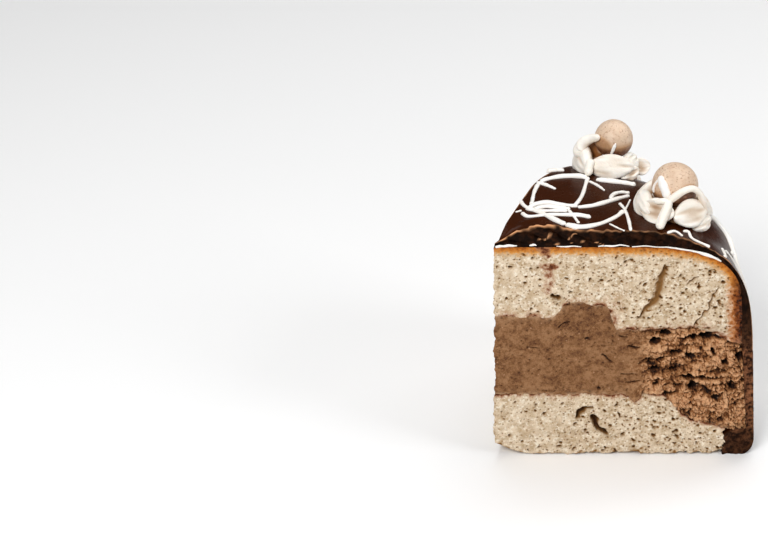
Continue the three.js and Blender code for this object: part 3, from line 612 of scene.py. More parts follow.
def sponge_relief(rho, z, tears, holes, seed):
    """Depth of cut sponge: a soft drag of the knife, the pores, and the tears and holes, whose edges
    are bent by waves. Also gives the painted shade of each place, darker in deeper pores, tears and
    holes."""
    rough = 0.2 + layered(rho, z, (0.16, 3.2, 2.2, seed), (0.14, 1.1, 1.1, seed + 4))
    small = pores(rho, z, seed)
    bent_rho = rho + layered(rho, z, (0.45, 1.5, 1.5, seed + 11), (0.2, 0.7, 0.7, seed + 12))
    bent_z = z + 0.45 * waves(rho, z, 1.5, 1.5, seed + 13)
    large = np.zeros(rho.shape)
    for deep, line in tears + [(hole_depth, [hole]) for hole in holes]:
        large = np.maximum(large, groove(bent_rho, bent_z, line, deep))
    dark = np.clip(np.maximum(small / pore_dark, large / tear_dark), 0, 1)
    return rough + np.maximum(small, large), dark


print("mean depth of the pores:", pores(*np.mgrid[0:60:0.2, 0:60:0.2], 3).mean().round(3), "mm")

# %% [markdown]
# ### Where the layers meet
# The filling was spread on the lower sponge and the upper sponge pressed into it, so the meeting
# lines wander: a hump near the tip, a step, and a slope down to the wall. Both neighbours use the
# same two functions, so they touch all along, also where crumbs make the line ragged at the cuts.

# %% Surfaces between the layers
lower_level, upper_level = 27.8, 61.3
notch_at, notch_wide, notch_deep = 54, 2.4, 3.2
lower_drops = ((12.5, 62, 78), (2.8, 76, 88))
hump_start, hump_end, hump_height = (21, 27), (41.6, 46.2), 5.8
step_drop, wall_drop = 5, 6.2
ragged_reach = 0.08


def ragged(rho, share, seed):
    """Small waves of a meeting line, which fade away behind each cut."""
    return ripples(rho, (0.45, 2.3, seed), (0.3, 0.9, seed + 1)) * fading(share, ragged_reach)


def lower_surface(rho, share):
    """Top of the bottom sponge: level with one notch at the cut, then falling in a soft step towards
    the wall, with a slow wave away from the front cut."""
    middle = ease(0, 30, rho) * (1 - ease(60, 80, rho))
    wave = 0.8 * np.sin(0.09 * rho + 5 * share) * share * middle
    notch = notch_deep * bell(rho, notch_at, notch_wide) * (1 - ease(0, 0.3, share))
    drop = sum(deep * ease(start, end, rho) for deep, start, end in lower_drops)
    return lower_level - drop - notch + wave + ragged(rho, share, 61) * ease(0, 3, rho)


def upper_surface(rho, share):
    """Underside of the top sponge: a hump that fades behind the cut, a step down after it, a hill and
    a slope to the wall."""
    hump = hump_height * (ease(*hump_start, rho) - ease(*hump_end, rho))
    hump = hump + 2 * bell(rho, 31, 4) + 1.4 * bell(rho, 73.5, 3)
    step = 0.9 * (1 - ease(15, 19, rho)) - step_drop * ease(*hump_end, rho)
    step = step - wall_drop * ease(74, 92, rho)
    middle = ease(0, 30, rho) * (1 - ease(70, 90, rho))
    wave = 0.9 * np.sin(0.11 * rho - 4 * share) * share * middle
    rough = ragged(rho, share, 65) * ease(0, 3, rho) * (1 - ease(90, 93, rho))
    return upper_level + hump * (1 - 0.7 * ease(0, 0.5, share)) + step + wave + rough


notch_height = lower_surface(np.array([notch_at]), np.array([0]))[0]
print("the lower surface dips to", notch_height.round(1), "mm in the notch")

# %% [markdown]
# ### Where the cake crumbles
# Near the wall the filling is loose, and at the cuts it takes some sponge with it. One field says how
# crumbly a place is, and a few wide hollows say where most has fallen out.

# %% Where the cake crumbles
hollows = [
    (63, 53, 4, 3, 3.2), (81, 52, 6, 3, 3.4), (76, 28, 4, 3.5, 3), (70, 42, 5, 3, 2.2),
    (87, 37, 4, 4, 2.4),
]
loose_start, loose_foot, loose_top = (49, 64), (8, 16), (55, 59)
even_loss = 0.8


def crumbly(rho, z):
    """How crumbly the cut is, from 0 to 1: only the outer part of the filling and its neighbours."""
    start = rho + 3 * waves(rho, z, 5, 4, 27)
    return ease(*loose_start, start) * ease(*loose_foot, z) * (1 - ease(*loose_top, z))


def hollow(rho, z):
    """Depth of the few wide hollows of the crumbly part: a sum of soft bells."""
    depth = np.zeros(np.broadcast(rho, z).shape)
    for at_rho, at_z, wide, tall, deep in hollows:
        depth = depth + deep * bell(rho, at_rho, wide) * bell(z, at_z, tall)
    return depth


def sponge_cuts(rho, z, share, tears, holes, seeds):
    """Depth of a sponge's front cut and second cut, each with its relief and what crumbles away, and
    the painted shade of each place. The listed tears and holes are on the front cut only."""
    front, front_dark = sponge_relief(rho, z, tears, holes, seeds[0])
    back, back_dark = sponge_relief(rho, z, [], [], seeds[1])
    torn = crumbly(rho, z) * (hollow(rho, z) + even_loss)
    return front + torn, back + torn, np.where(share < 0.5, front_dark, back_dark)


edge_z = 50.1
edge_rho = wall_reach(sponge_shoulder, edge_z)
print("sponge and filling meet the glaze at", round(edge_rho, 2), edge_z)

# %% [markdown]
# ### The top sponge
# A column of points stands on each place of the lower side and leans out to the dome. All columns
# together fill the section, and turning the section through the wedge gives the block. The distance
# to the dome, over the crust's thickness there, tells the finish where the baked crust is.

# %% Top sponge
dome_rho, dome_z = dome_line(sponge_shoulder, edge_z, 1200)
smears = [
    (1.5, [(15.5, 93.2, 1.6), (18, 91.2, 2.6), (19.6, 88.6, 2)]),
    (1, [(16.6, 84.6, 1.2), (20, 83.4, 2.2), (23.6, 83.8, 1.2)]),
    (0.7, [(19.6, 83, 2), (20.4, 74, 2.8)]),
]
crust_top, crust_side, crust_turn = 3.3, 5.2, (84, 91)


def crust_depth(rho, z):
    """Distance from the dome over the crust's thickness, and how far round to the wall the nearest
    point of the dome lies: the smallest of the distances to points along the dome."""
    away, nearest = np.full(rho.shape, 99.0), np.zeros(rho.shape)
    for point in range(0, len(dome_rho), 8):
        distance = np.hypot(rho - dome_rho[point], z - dome_z[point])
        round_it = dome_rho[point] - 0.2 * (dome_z[point] - sponge_shoulder["foot"])
        nearest = np.where(distance < away, round_it, nearest)
        away = np.minimum(away, distance)
    side = ease(*crust_turn, nearest)
    return away / blend(crust_top, crust_side, side), side


def top_sponge_point(u, v, w):
    """Ruled between the filling's surface (v 0) and the dome (v 1): column u stands at the same share
    of both lines. Each cut is pushed in by its own relief."""
    low_rho = u * edge_rho
    low_z = upper_surface(low_rho, w) + seam
    rho = blend(low_rho, np.interp(u, steps(len(dome_rho)), dome_rho), v)
    z = blend(low_z, np.interp(u, steps(len(dome_rho)), dome_z), v)
    front, back, dark = sponge_cuts(rho, z, w, top_tears, top_holes, (3, 41))
    crust, side = crust_depth(rho, z)
    slope = (upper_surface(low_rho + 0.1, w) - upper_surface(low_rho - 0.1, w)) / 0.2
    above = np.maximum(z - low_z, 0) / np.sqrt(1 + slope**2)
    stain = np.exp(-above / 1.5) * (0.7 + 0.6 * waves(rho, z, 2.4, 1.8, 5))
    for strong, line in smears:
        smear = groove(rho + 0.8 * waves(rho, z, 1.6, 1.6, 6), z, line, strong) * (w < 0.5)
        stain = np.maximum(stain, smear * (0.8 + 0.4 * waves(rho, z, 1.1, 1.1, 7)))
    return place(rho, z, w, front, back), {"pore": dark, "crust": crust, "side": side, "stain": stain}


top_patches = block(top_sponge_point, steps(321), steps(111), steps(17))
add_piece("top_sponge_crumb", top_patches, sponge, "sponge", "top_sponge")

# %% [markdown]
# ### The bottom sponge
# The same crumb, flat below. Its tip is worn up a little, and towards the wall it slopes down under
# the filling. Its lower edge is chipped, and a few patches there are browner from baking.

# %% Bottom sponge
bottom_reach = 88.5
tip_lift, tip_lift_reach, outer_lift, outer_tear = 5.8, 20, 1.6, 1.3


def bottom_sponge_point(u, v, w):
    """Upright columns from the floor, or the worn tip, to the filling's underside. The outer end is
    torn at the cuts, and the lower edge is chipped there."""
    torn_end = np.maximum(ripples(13 * v, (1, 2.6, 83), (0.5, 1.1, 84)) + 0.3, 0)
    rho = u * bottom_reach + outer_tear * torn_end * ease(0.95, 1, u) * fading(w, 0.05)
    worn = tip_lift * (1 - np.minimum(rho / tip_lift_reach, 1)) ** 2
    chips = (0.9 + layered(rho, 40 * w, (0.7, 4, 8, 21), (0.6, 1.5, 8, 22))) * ease(12, 24, rho)
    low = worn + outer_lift * ease(80, bottom_reach, rho) + chips * (from_cut(w) < 0.02)
    high = lower_surface(rho, w) - seam
    z = blend(low, high, v)
    front, back, dark = sponge_cuts(rho, z, w, bottom_tears, bottom_holes, (71, 97))
    stain = np.exp(-np.maximum(high - z, 0) / 1.2) * (0.7 + 0.6 * waves(rho, z, 2.4, 1.8, 8))
    patches = layered(rho, z, (0.9, 2.6, 1.7, 77), (0.5, 1.1, 1, 78))
    baked = np.clip(patches - (z - low) / 3.5, 0, 0.7)
    far = np.full(rho.shape, 9.0)
    # Painted shade of pores and tears shares one number with the real baked patches.
    numbers = {"pore": np.maximum(dark, baked), "stain": stain, "crust": far, "side": 0 * far}
    return place(rho, z, w, front, back), numbers


bottom_patches = block(bottom_sponge_point, steps(301), steps(91), steps(17))
add_piece("bottom_sponge_crumb", bottom_patches, sponge, "sponge", "bottom_sponge")

# %% [markdown]
# ## Filling
# Near the tip the filling is a smooth chocolate cream, dragged by the knife. Towards the wall it
# breaks into loose crumbs with dark gaps. A number on the mesh gives painted shade, since light dies
# in the gaps, pits and voids, mixed with random tone, and another tells how loose the place is.


# %% Filling finish
def filling_finish():
    """Two colour ramps over one shade, for smooth cream and for crumb, mixed by how loose the place is,
    with pale edges and flecks."""
    material, tree = start_finish("chocolate filling")
    # The shade number holds painted shade of gaps, pits and voids, and random tone.
    shade = ragged_number(tree, "shade", noise(tree, 1.3, 7, 0.8), 0.22, 0.48)
    cream_stops = [(0.1, 152, 110, 74), (0.35, 128, 86, 50), (0.6, 94, 56, 28), (0.9, 40, 21, 9)]
    crumb_stops = [(0.05, 218, 168, 124), (0.3, 178, 125, 80), (0.52, 126, 77, 38)]
    crumb_stops += [(0.75, 70, 36, 15), (0.95, 26, 12, 5)]
    smooth, crumb = tinted(tree, shade, *cream_stops), tinted(tree, shade, *crumb_stops)
    colour = mixed(tree, attribute(tree, "loose"), smooth, crumb)
    colour = touched(tree, colour, attribute(tree, "pale"), 192, 156, 120)
    colour = touched(tree, colour, between(tree, dots(tree, 3.4), 0.05, 0.12, 0.6, 0), 196, 152, 118)
    look = {"Base Color": colour, "Roughness": 0.7, "Specular IOR Level": 0.25}
    return end_finish(material, look, noise(tree, 0.8, 5, 0.65), 0.5)


filling = filling_finish()

# %% [markdown]
# ### Tears and voids of the filling
# The largest ones are set one by one, because the eye would miss them. Tears are lines, as in the
# sponge. Voids are ovals, each a middle with its half width and half height.

# %% Tears and voids of the filling
filling_tears = [
    (1.2, [(23.9, 57.3, 0.4), (26.1, 59.3, 0.45), (28.3, 60.1, 0.3)]),
    (0.8, [(12.5, 48.4, 0.3), (17, 48.2, 0.35)]),
    (1.3, [(40.5, 45.8, 0.4), (42.5, 44, 0.5), (44.3, 42.4, 0.4)]),
    (1.6, [(50.6, 49, 0.4), (53.1, 48.2, 0.8), (55, 48.6, 0.4)]),
    (1.2, [(48, 37, 0.3), (51, 36.4, 0.45), (53, 36.8, 0.3)]),
    (1.1, [(50, 33.2, 0.3), (54, 33, 0.5), (56, 33.6, 0.3)]),
    (1, [(46.8, 53.5, 0.3), (49.6, 52.9, 0.45)]),
    (2, [(27.5, 67.9, 1)]),
    (1.4, [(34.9, 52.8, 0.8)]),
    (1, [(20.8, 43.4, 0.6)]),
    (1.6, [(39.8, 30.6, 0.8)]),
]
voids = [
    (64.7, 53.5, 2.1, 1.4), (60.8, 50.6, 1.8, 1.4), (80.3, 52.4, 2.3, 1.8), (84.5, 52.2, 1.8, 1),
    (74.2, 52, 2.7, 1), (68.8, 45.4, 1.8, 1), (74.6, 43.8, 1.8, 1.4), (83, 46.1, 0.9, 2.1),
    (93.1, 43.8, 1.2, 2), (74.4, 34.2, 2.9, 0.9), (76.2, 30.6, 2.3, 2), (91, 30.6, 1.8, 2),
    (85.4, 25.5, 1.4, 1.2), (61, 37.9, 2, 0.8), (68, 37.9, 1.8, 0.7), (57.3, 42.5, 2.1, 0.6),
    (81.4, 34.2, 4.6, 0.7), (61.5, 31.9, 1.2, 0.8), (87.5, 41, 1.2, 1.4), (66, 27.4, 1.6, 0.8),
]
void_depth = 4
print(len(filling_tears), "tears and", len(voids), "voids set by hand")

# %% [markdown]
# ### Loose crumbs
# Large slabs lie above, finer grains below. Soft hills make the slabs, and cells make the grains, each
# at its own depth, with a gap where two cells meet. Thousands of small solids would do it too, but
# they would have to be piled up first.

# %% Loose crumbs
slab_kinds = ((6, 1.1, 1.2), (3.1, 0.8, 1))
grain_kinds = ((2.6, 0.8, 0.7), (1.5, 0.5, 0.6), (0.9, 0.3, 0.35))
grain_gap = 0.25


def crumbs(rho, z, seed):
    """Depth and shade of loose crumb. Slabs are hills of two sizes, creased where they cross zero.
    On them lie grains of three sizes of cells, each at its own depth and random tone, parted by gaps.
    Deep hills, creases and gaps get painted shade. Slabs lead above, grains towards the foot."""
    bend = rho + layered(rho, z, (0.9, 2.6, 2.6, seed + 6), (0.3, 0.8, 0.8, seed + 16))
    bend_z = z + layered(rho, z, (0.8, 2.3, 2.3, seed + 7), (0.3, 0.8, 0.8, seed + 17))
    slab = 1 - 0.6 * ease(0, 1, (rho - 70) / 30 + (36 - z) / 36)
    depth, shade = np.full(rho.shape, 0.5), np.full(rho.shape, -0.02)
    for size, step, crease in slab_kinds:
        hills = waves(bend, bend_z, size, 0.7 * size, seed + size)
        folds = (1 - np.abs(waves(bend, bend_z, 1.2 * size, 0.8 * size, seed + 2 * size))) ** 5
        depth = depth + slab * (step * hills + crease * folds)
        # Painted shade: deeper hills and creases are darker.
        shade = shade + slab * (0.26 * step * hills + 0.3 * crease * folds)
    strong = 1 + 0.8 * (1 - slab)
    for size, step, part in grain_kinds:
        near, lot, gap = cells(bend, bend_z, size, 0.8 * size, seed + 3 * size)
        parted = part * np.clip(1 - gap / grain_gap, 0, 1)
        depth = depth + strong * (step * (lot - 0.5) + parted + 0.4 * step * near**2)
        # Each grain's own random tone, and painted shade in the gaps between grains.
        shade = shade + strong * (0.46 * step**0.5 * (lot - 0.5) + 0.28 * parted)
    return np.maximum(depth, 0), shade


loose_sample = crumbs(*np.mgrid[60:90:0.3, 20:50:0.3], 27)[0]
print("mean depth of loose crumb:", loose_sample.mean().round(2), "mm")

# %% [markdown]
# ### The cut filling
# Smooth and crumbly parts are both worked out for the whole cut and then mixed by how loose each place
# is, so one passes into the other without a border.


# %% The cut filling
def filling_relief(rho, z, tears, holes, seed):
    """Depth of the cut filling: knife drags and pits where it is smooth, crumbs, hollows and voids
    where it is crumbly. Also gives the shade, painted shade of gaps, pits and voids mixed with random
    tone, and how loose each place is."""
    loose = crumbly(rho, z)
    drag = 0.25 + layered(rho, z, (0.12, 6, 1.6, seed), (0.16, 2.2, 1.6, seed + 1))
    fine, lot = cells(rho, z, 2.2, 1.5, seed + 8)[:2]
    pits = np.where(lot < 0.25, 0.6 * np.clip(1 - (fine / 0.22) ** 2, 0, 1), 0)
    bent_rho = rho + layered(rho, z, (0.7, 2, 2, seed + 31), (0.4, 0.9, 0.9, seed + 32))
    bent_z = z + layered(rho, z, (0.6, 2, 2, seed + 33), (0.3, 0.9, 0.9, seed + 34))
    for deep, line in tears:
        pits = np.maximum(pits, groove(0.5 * (rho + bent_rho), 0.5 * (z + bent_z), line, deep))
    inside = np.zeros(rho.shape)
    for at_rho, at_z, wide, tall in holes:
        away = np.hypot((bent_rho - at_rho) / wide, (bent_z - at_z) / tall)
        inside = np.maximum(inside, np.clip(1.25 - away, 0, 1))
    crumb_depth, crumb_shade = crumbs(rho, z, seed + 20)
    fallen = loose * (0.7 * hollow(rho, z) + void_depth * np.sqrt(inside))
    streaks = 0.3 + 0.16 * waves(rho, z, 4, 2.2, seed + 2)
    streaks = streaks + 0.12 * ease(46, 60, z) * ease(10, 40, rho)
    # Painted shade: voids and hollows of the crumbly part, and pits and tears, are darkened.
    gloom = loose * (ease(0, 0.3, inside) + 0.04 * hollow(rho, z))
    shade = blend(streaks, crumb_shade, loose) + pits / 2.4 + gloom
    return blend(drag, crumb_depth, loose) + fallen + pits, np.clip(shade, 0, 1), loose


cut_sample = filling_relief(np.array([75.0]), np.array([40.0]), [], [], 7)[0]
print("depth of the cut at rho 75, z 40:", cut_sample.round(2), "mm")

# %% [markdown]
# ### The block of filling
# The filling lies between both sponges, and near the wall on the foot where the glaze pooled.

# %% The block of filling
foot_height = 11.6
filling_reach = 97.6


def foot_top(rho, share):
    """Upper side of the glaze's pooled foot: level, and lumpy near the cuts."""
    edge = ease(91, 93, rho) * (1 - ease(96.6, 97.5, rho))
    lumps = ripples(rho, (1.1, 3.1, 81), (0.6, 1.2, 82))
    return foot_height + lumps * edge * fading(share, ragged_reach)


def filling_point(u, v, w):
    """Ruled between the bottom sponge's surface, or the glaze's foot near the wall, and the top
    sponge's underside."""
    low_rho, high_rho = u * filling_reach, u * edge_rho
    on_foot = ease(bottom_reach, bottom_reach + 3, low_rho)
    low_z = blend(lower_surface(low_rho, w), foot_top(low_rho, w), on_foot) + seam
    high_z = upper_surface(high_rho, w)
    rho, z = blend(low_rho, high_rho, v), blend(low_z, high_z - seam, v)
    front, front_shade, loose = filling_relief(rho, z, filling_tears, voids, 7)
    back, back_shade = filling_relief(rho, z, [], voids[:9], 57)[:2]
    edge = np.exp(-np.minimum(v, 1 - v) * (high_z - low_z) / 0.9)
    pale = 0.7 * edge * np.clip(0.5 + waves(rho, z, 2, 1.4, 9), 0, 1) * (1 - 0.7 * loose)
    numbers = {"shade": np.where(w < 0.5, front_shade, back_shade), "loose": loose, "pale": pale}
    return place(rho, z, w, front, back), numbers


filling_patches = block(filling_point, steps(331), steps(121), steps(17))
add_piece("filling_crumb", filling_patches, filling, "filling", "chocolate_filling", sharp=75)

# %% [markdown]
# ## Glaze
# The glaze is a skin of dark chocolate, about 4 mm on top. At the front cut the knife broke it, so
# its upper edge lies behind its lower one, with a rough, dark break between and a thin rim with a
# painted highlight along it. The skin shines a little, the break does not, and numbers on the mesh
# tell the material which is which.


# %% Glaze finish
def glaze_finish():
    """Dark skin, and rubble where it is broken, which is lighter down the wall, with a painted
    highlight along the rim. The skin shines more than the break."""
    material, tree = start_finish("dark glaze")
    broken = attribute(tree, "broken")
    skin = tinted(tree, noise(tree, 12, 4), (0.3, 46, 18, 3), (0.7, 59, 25, 7))
    rubble = tinted(tree, noise(tree, 3.2, 5, 0.6), (0.45, 16, 5, 1), (0.85, 62, 33, 16))
    wall = tinted(tree, noise(tree, 1.7, 6, 0.7), (0.42, 32, 14, 6), (0.64, 142, 92, 62))
    colour = mixed(tree, broken, skin, mixed(tree, attribute(tree, "wall"), rubble, wall))
    # Painted highlight along the broken edge and on its ledges.
    colour = touched(tree, colour, attribute(tree, "rim"), 218, 158, 112)
    dull = math_node(tree, "MAXIMUM", between(tree, noise(tree, 5, 5), 0.3, 0.7, 0.3, 0.5), broken)
    look = {"Base Color": colour, "Roughness": between(tree, dull, 0, 1, 0, 0.6)}
    look["Specular IOR Level"] = between(tree, broken, 0, 1, 0.065, 0.04)
    return end_finish(material, look, noise(tree, 3.5, 4), 0.06)


glaze = glaze_finish()

# %% [markdown]
# ### The two lines of the glaze
# In section the glaze is the room between an inner line, along sponge and filling, and an outer line,
# over dome and wall to a rounded foot. Both have the same number of points, so they can be joined.

# %% The two lines of the glaze
columns_dome, columns_wall = 220, 90
inner_shoulder = dict(sponge_shoulder)
for term in ("reach", "drop", "wall"):
    inner_shoulder[term] += seam
inner_dome = dome_line(inner_shoulder, edge_z, columns_dome)
outer_dome = dome_line(glaze_shoulder, glaze_shoulder["foot"], columns_dome)
foot_inside = [(filling_reach + seam, foot_height), (92.5, foot_height), (88.7, 8.6), (88.9, 0)]
inner_corners = np.array([(inner_dome[0][-1], inner_dome[1][-1]), *foot_inside])
inner_wall = even_line(*inner_corners.T, columns_wall)
foot_round, foot_inset = 7, 4.5
foot_turn = np.linspace(0, np.pi / 2, 30)
foot_rho = wall_reach(glaze_shoulder, foot_round) - foot_inset * (1 - np.cos(foot_turn))
outer_wall = even_line(
    np.append(glaze_shoulder["wall"], foot_rho),
    np.append(glaze_shoulder["foot"], foot_round * (1 - np.sin(foot_turn))),
    columns_wall,
)
inner_rho, inner_z = (np.append(dome, wall[1:]) for dome, wall in zip(inner_dome, inner_wall))
outer_rho, outer_z = (np.append(dome, wall[1:]) for dome, wall in zip(outer_dome, outer_wall))
outer_z = outer_z - glaze_tip_drop * (1 - ease(0, glaze_tip_reach, outer_rho))
column_share = steps(len(inner_rho))
dome_share = column_share[columns_dome - 1]
print("glaze on the flat top:", round(outer_z.max() - inner_z.max(), 2), "mm thick")

# %% [markdown]
# ### The broken edge
# The broken face leans back in uneven steps with a few ledges, which get a painted highlight. A
# boolean cut with a rough block could break it too, but then the mesh would have no rows along which
# to shade it.

# %% The broken edge
break_deep, break_middle, break_shallow = 4.1, 3.9, 1.2
deepest_at, deepest_wide = 20, 8.5
face_length, ledge_height, rim_highlight_fade = 15, 0.5, (24, 48)
ledges = [
    [(15.6, 4.6, 0.2), (19, 6.6, 0.3), (23.6, 8.4, 0.25)],
    [(23, 2.6, 0.15), (30, 4.2, 0.25), (37.6, 4.8, 0.3), (40.4, 1.8, 0.2)],
    [(26.6, 6.6, 0.2), (29.4, 9.4, 0.35), (30.6, 12, 0.25)],
    [(20.6, 1.6, 0.3), (23.4, 3, 0.25)],
]


def broken_edge(rho, on_dome):
    """How far the glaze's upper edge lies behind the front cut: deep near the tip, shallow towards
    the shoulder, in ragged bites."""
    bites = 0.4 * np.sin(0.9 * rho) + 0.3 * np.sin(2.1 * rho + 1) + ripples(rho, (0.5, 2.2, 31))
    depth = break_shallow + break_middle * (1 - ease(58, 78, rho)) + bites
    depth = depth + break_deep * bell(rho, deepest_at, deepest_wide)
    return np.where(on_dome, np.minimum(0.6 * rho, np.maximum(depth, 0.2)), 0.7)


def broken_face(rho, z, v, edge_at, on_dome):
    """How far the broken face lies behind the front cut at a share v of the way up to its edge, which
    is at edge_at: steps on a slope, chips, which are larger on the wall, and ledges that stand out.
    Also gives the ledges, which the finish paints with a highlight."""
    across = np.sin(np.pi * v)
    stair = np.clip(v + 0.16 * np.sin(9 * v + 0.7 * rho) * across, 0, 1)
    wall_chips = 0.6 + layered(rho, z, (0.8, 2.6, 2.6, 23), (0.4, 1.1, 1.1, 24))
    chips = (0.3 * waves(rho, 9 * v, 4.6, 2.2, 15) + (1 - on_dome) * wall_chips) * across
    up_face = face_length * v + ripples(rho, (0.5, 1.7, 35))
    # Ledges: raised lines, which also get the painted highlight.
    pale = np.max([groove(rho, up_face, line, 0.6) for line in ledges], axis=0)
    slope = blend(0.4, broken_edge(edge_at, on_dome), stair)
    return np.minimum(0.6 * rho, slope + chips - ledge_height * pale), pale


print("the edge lies", broken_edge(np.array([20.0, 70.0]), True).round(1), "mm behind the cut")

# %% [markdown]
# ### The skin of glaze
# Both lines and the broken face together give the block of glaze. The numbers tell the finish where
# the glaze is broken, where the painted highlight of its rim runs, and where the break reaches the
# wall.


# %% The skin of glaze
def glaze_point(u, v, w):
    """Between the inner line (v 0) and the outer line (v 1) of the section. The front cut is the
    broken face, and the outside is slightly wavy."""
    lines = (inner_rho, outer_rho, inner_z, outer_z)
    low_rho, high_rho, low_z, high_z = (np.interp(u, column_share, line) for line in lines)
    low_z = low_z + np.isclose(low_z, foot_height) * (foot_top(low_rho, w) - foot_height)
    rho, z = blend(low_rho, high_rho, v), blend(low_z, high_z, v)
    on_dome = u <= dome_share
    front, pale = broken_face(rho, z, v, high_rho, on_dome)
    second = blend(0.3, 0.9, v) + 0.4 * waves(rho, z, 3, 2, 18) * np.sin(np.pi * v)
    hills = 0.18 * waves(rho, 60 * w, 14, 12, 12) * (v == 1) * ease(4, 12, rho)
    on_cut = from_cut(w) < 0.001
    # Painted highlight along the broken upper edge: weaker past the tip, stronger near the shoulder,
    # and on the ledges.
    past = ease(*rim_highlight_fade, rho)
    rim = ease(blend(0.84, 0.9, past), 1, v) * (1 - 0.65 * past + 0.5 * bell(rho, 87, 3))
    rim = rim * (0.8 + 0.9 * waves(rho, 9 * v, 2, 2, 19)) * on_dome
    rim = np.clip(on_cut * np.maximum(rim, 1.3 * pale * (w < 0.5)), 0, 1)
    wall = ease(70, 40, z) * (1 - on_dome * 0.5) * blend(0.3, 1, ease(9, 14, z))
    spot = place(rho, z + hills * on_dome, w, front, np.minimum(0.4 * rho, second))
    return spot, {"broken": on_cut * 1.0, "rim": rim, "wall": wall}


face_rows = 0.5 - 0.5 * np.cos(np.pi * steps(19))
glaze_patches = block(glaze_point, column_share, face_rows, steps(81))
add_piece("glaze_skin", glaze_patches, glaze, "glaze", "chocolate_glaze", sharp=40)

# %% [markdown]
# ## White chocolate strands
# White chocolate was flicked over the cake in thin strands that set where they fell. A bevelled curve
# would do, but it ignores the surface below. Here a flat oval is carried along a smooth path that
# lives on the glaze itself, so a strand bends over the shoulder and never leaves it.


# %% White chocolate finish
def white_finish():
    """Near white, with slow soft spots."""
    material, tree = start_finish("white chocolate")
    colour = tinted(tree, noise(tree, 5, 3), (0.3, 240, 234, 226), (0.7, 251, 248, 244))
    look = {"Base Color": colour, "Roughness": 0.38, **soft_light(0.1, 2, 1.8, 1.4)}
    return end_finish(material, look, noise(tree, 1.6, 3), 0.1)


white = white_finish()

# %% [markdown]
# ### A section along a path
# Strands and rolls of cream are the same thing to a mesh: a section carried along a smooth path, with
# round ends.

# %% A section along a path
path_points = 16


def smooth_path(line, count):
    """Curve through all points of a short list: each coordinate is a Catmull-Rom spline, whose slope
    at a point is half the step between its neighbours. Points lie closer towards both ends."""
    line = np.array(line, float)
    padded = np.vstack([2 * line[0] - line[1], line, 2 * line[-1] - line[-2]])
    at = (len(line) - 1) * (0.5 - 0.5 * np.cos(np.pi * steps(count)))
    part = np.minimum(at.astype(int), len(line) - 2)
    t = (at - part)[:, None]
    a, b, c, d = (padded[part + k] for k in range(4))
    squared, cubed = 2 * a - 5 * b + 4 * c - d, 3 * b - a - 3 * c + d
    return 0.5 * (2 * b + (c - a) * t + squared * t**2 + cubed * t**3)


def unit(ways):
    """Vectors of length 1 in the same directions."""
    return ways / np.linalg.norm(ways, axis=-1, keepdims=True)


def rounded(points, half):
    """Half widths that close in a half circle at both ends: within one half width of an end they are
    multiplied by sqrt(1 - (1 - d)²), d being the distance from the end in half widths."""
    run = np.append(0, np.cumsum(np.linalg.norm(np.diff(points, axis=0), axis=1)))
    near = np.clip(np.minimum(run, run[-1] - run) / half, 0, 1)
    return half * np.sqrt(1 - (1 - near) ** 2)


def tube(points, side, normal, half, wide, tall):
    """Grid of a section (wide and tall, in half widths, per turn) carried along a path."""
    size = rounded(points, half)[:, None, None]
    section = side[:, None] * size * wide[..., None] + normal[:, None] * size * tall[..., None]
    return points[:, None] + section


def strand(line, skin, sides=15):
    """Flat oval carried along a path of (a, b, half width) points on a surface: its width lies in the
    surface, its height along the normal, and both swell unevenly."""
    path = smooth_path(line, path_points * len(line))
    step = 0.02
    points = skin(path[:, 0], path[:, 1])
    one = skin(path[:, 0] + step, path[:, 1]) - points
    two = skin(path[:, 0], path[:, 1] + step) - points
    normal = unit(np.cross(one, two))
    side = unit(np.cross(np.gradient(points, axis=0), normal))
    along = steps(len(path))
    half = path[:, 2] * (1 + 0.12 * np.sin(9 * along + 3 * path[0, 0]) + 0.06 * np.sin(31 * along))
    turn = np.linspace(0, 2 * np.pi, sides) % (2 * np.pi)
    return tube(points, side, normal, half, np.cos(turn)[None], 0.8 * np.sin(turn)[None] + 0.15), {}


path_sample = smooth_path([(0, 0), (1, 1), (2, 0)], 3 * path_points)
print("a path through 3 points has", len(path_sample), "points")
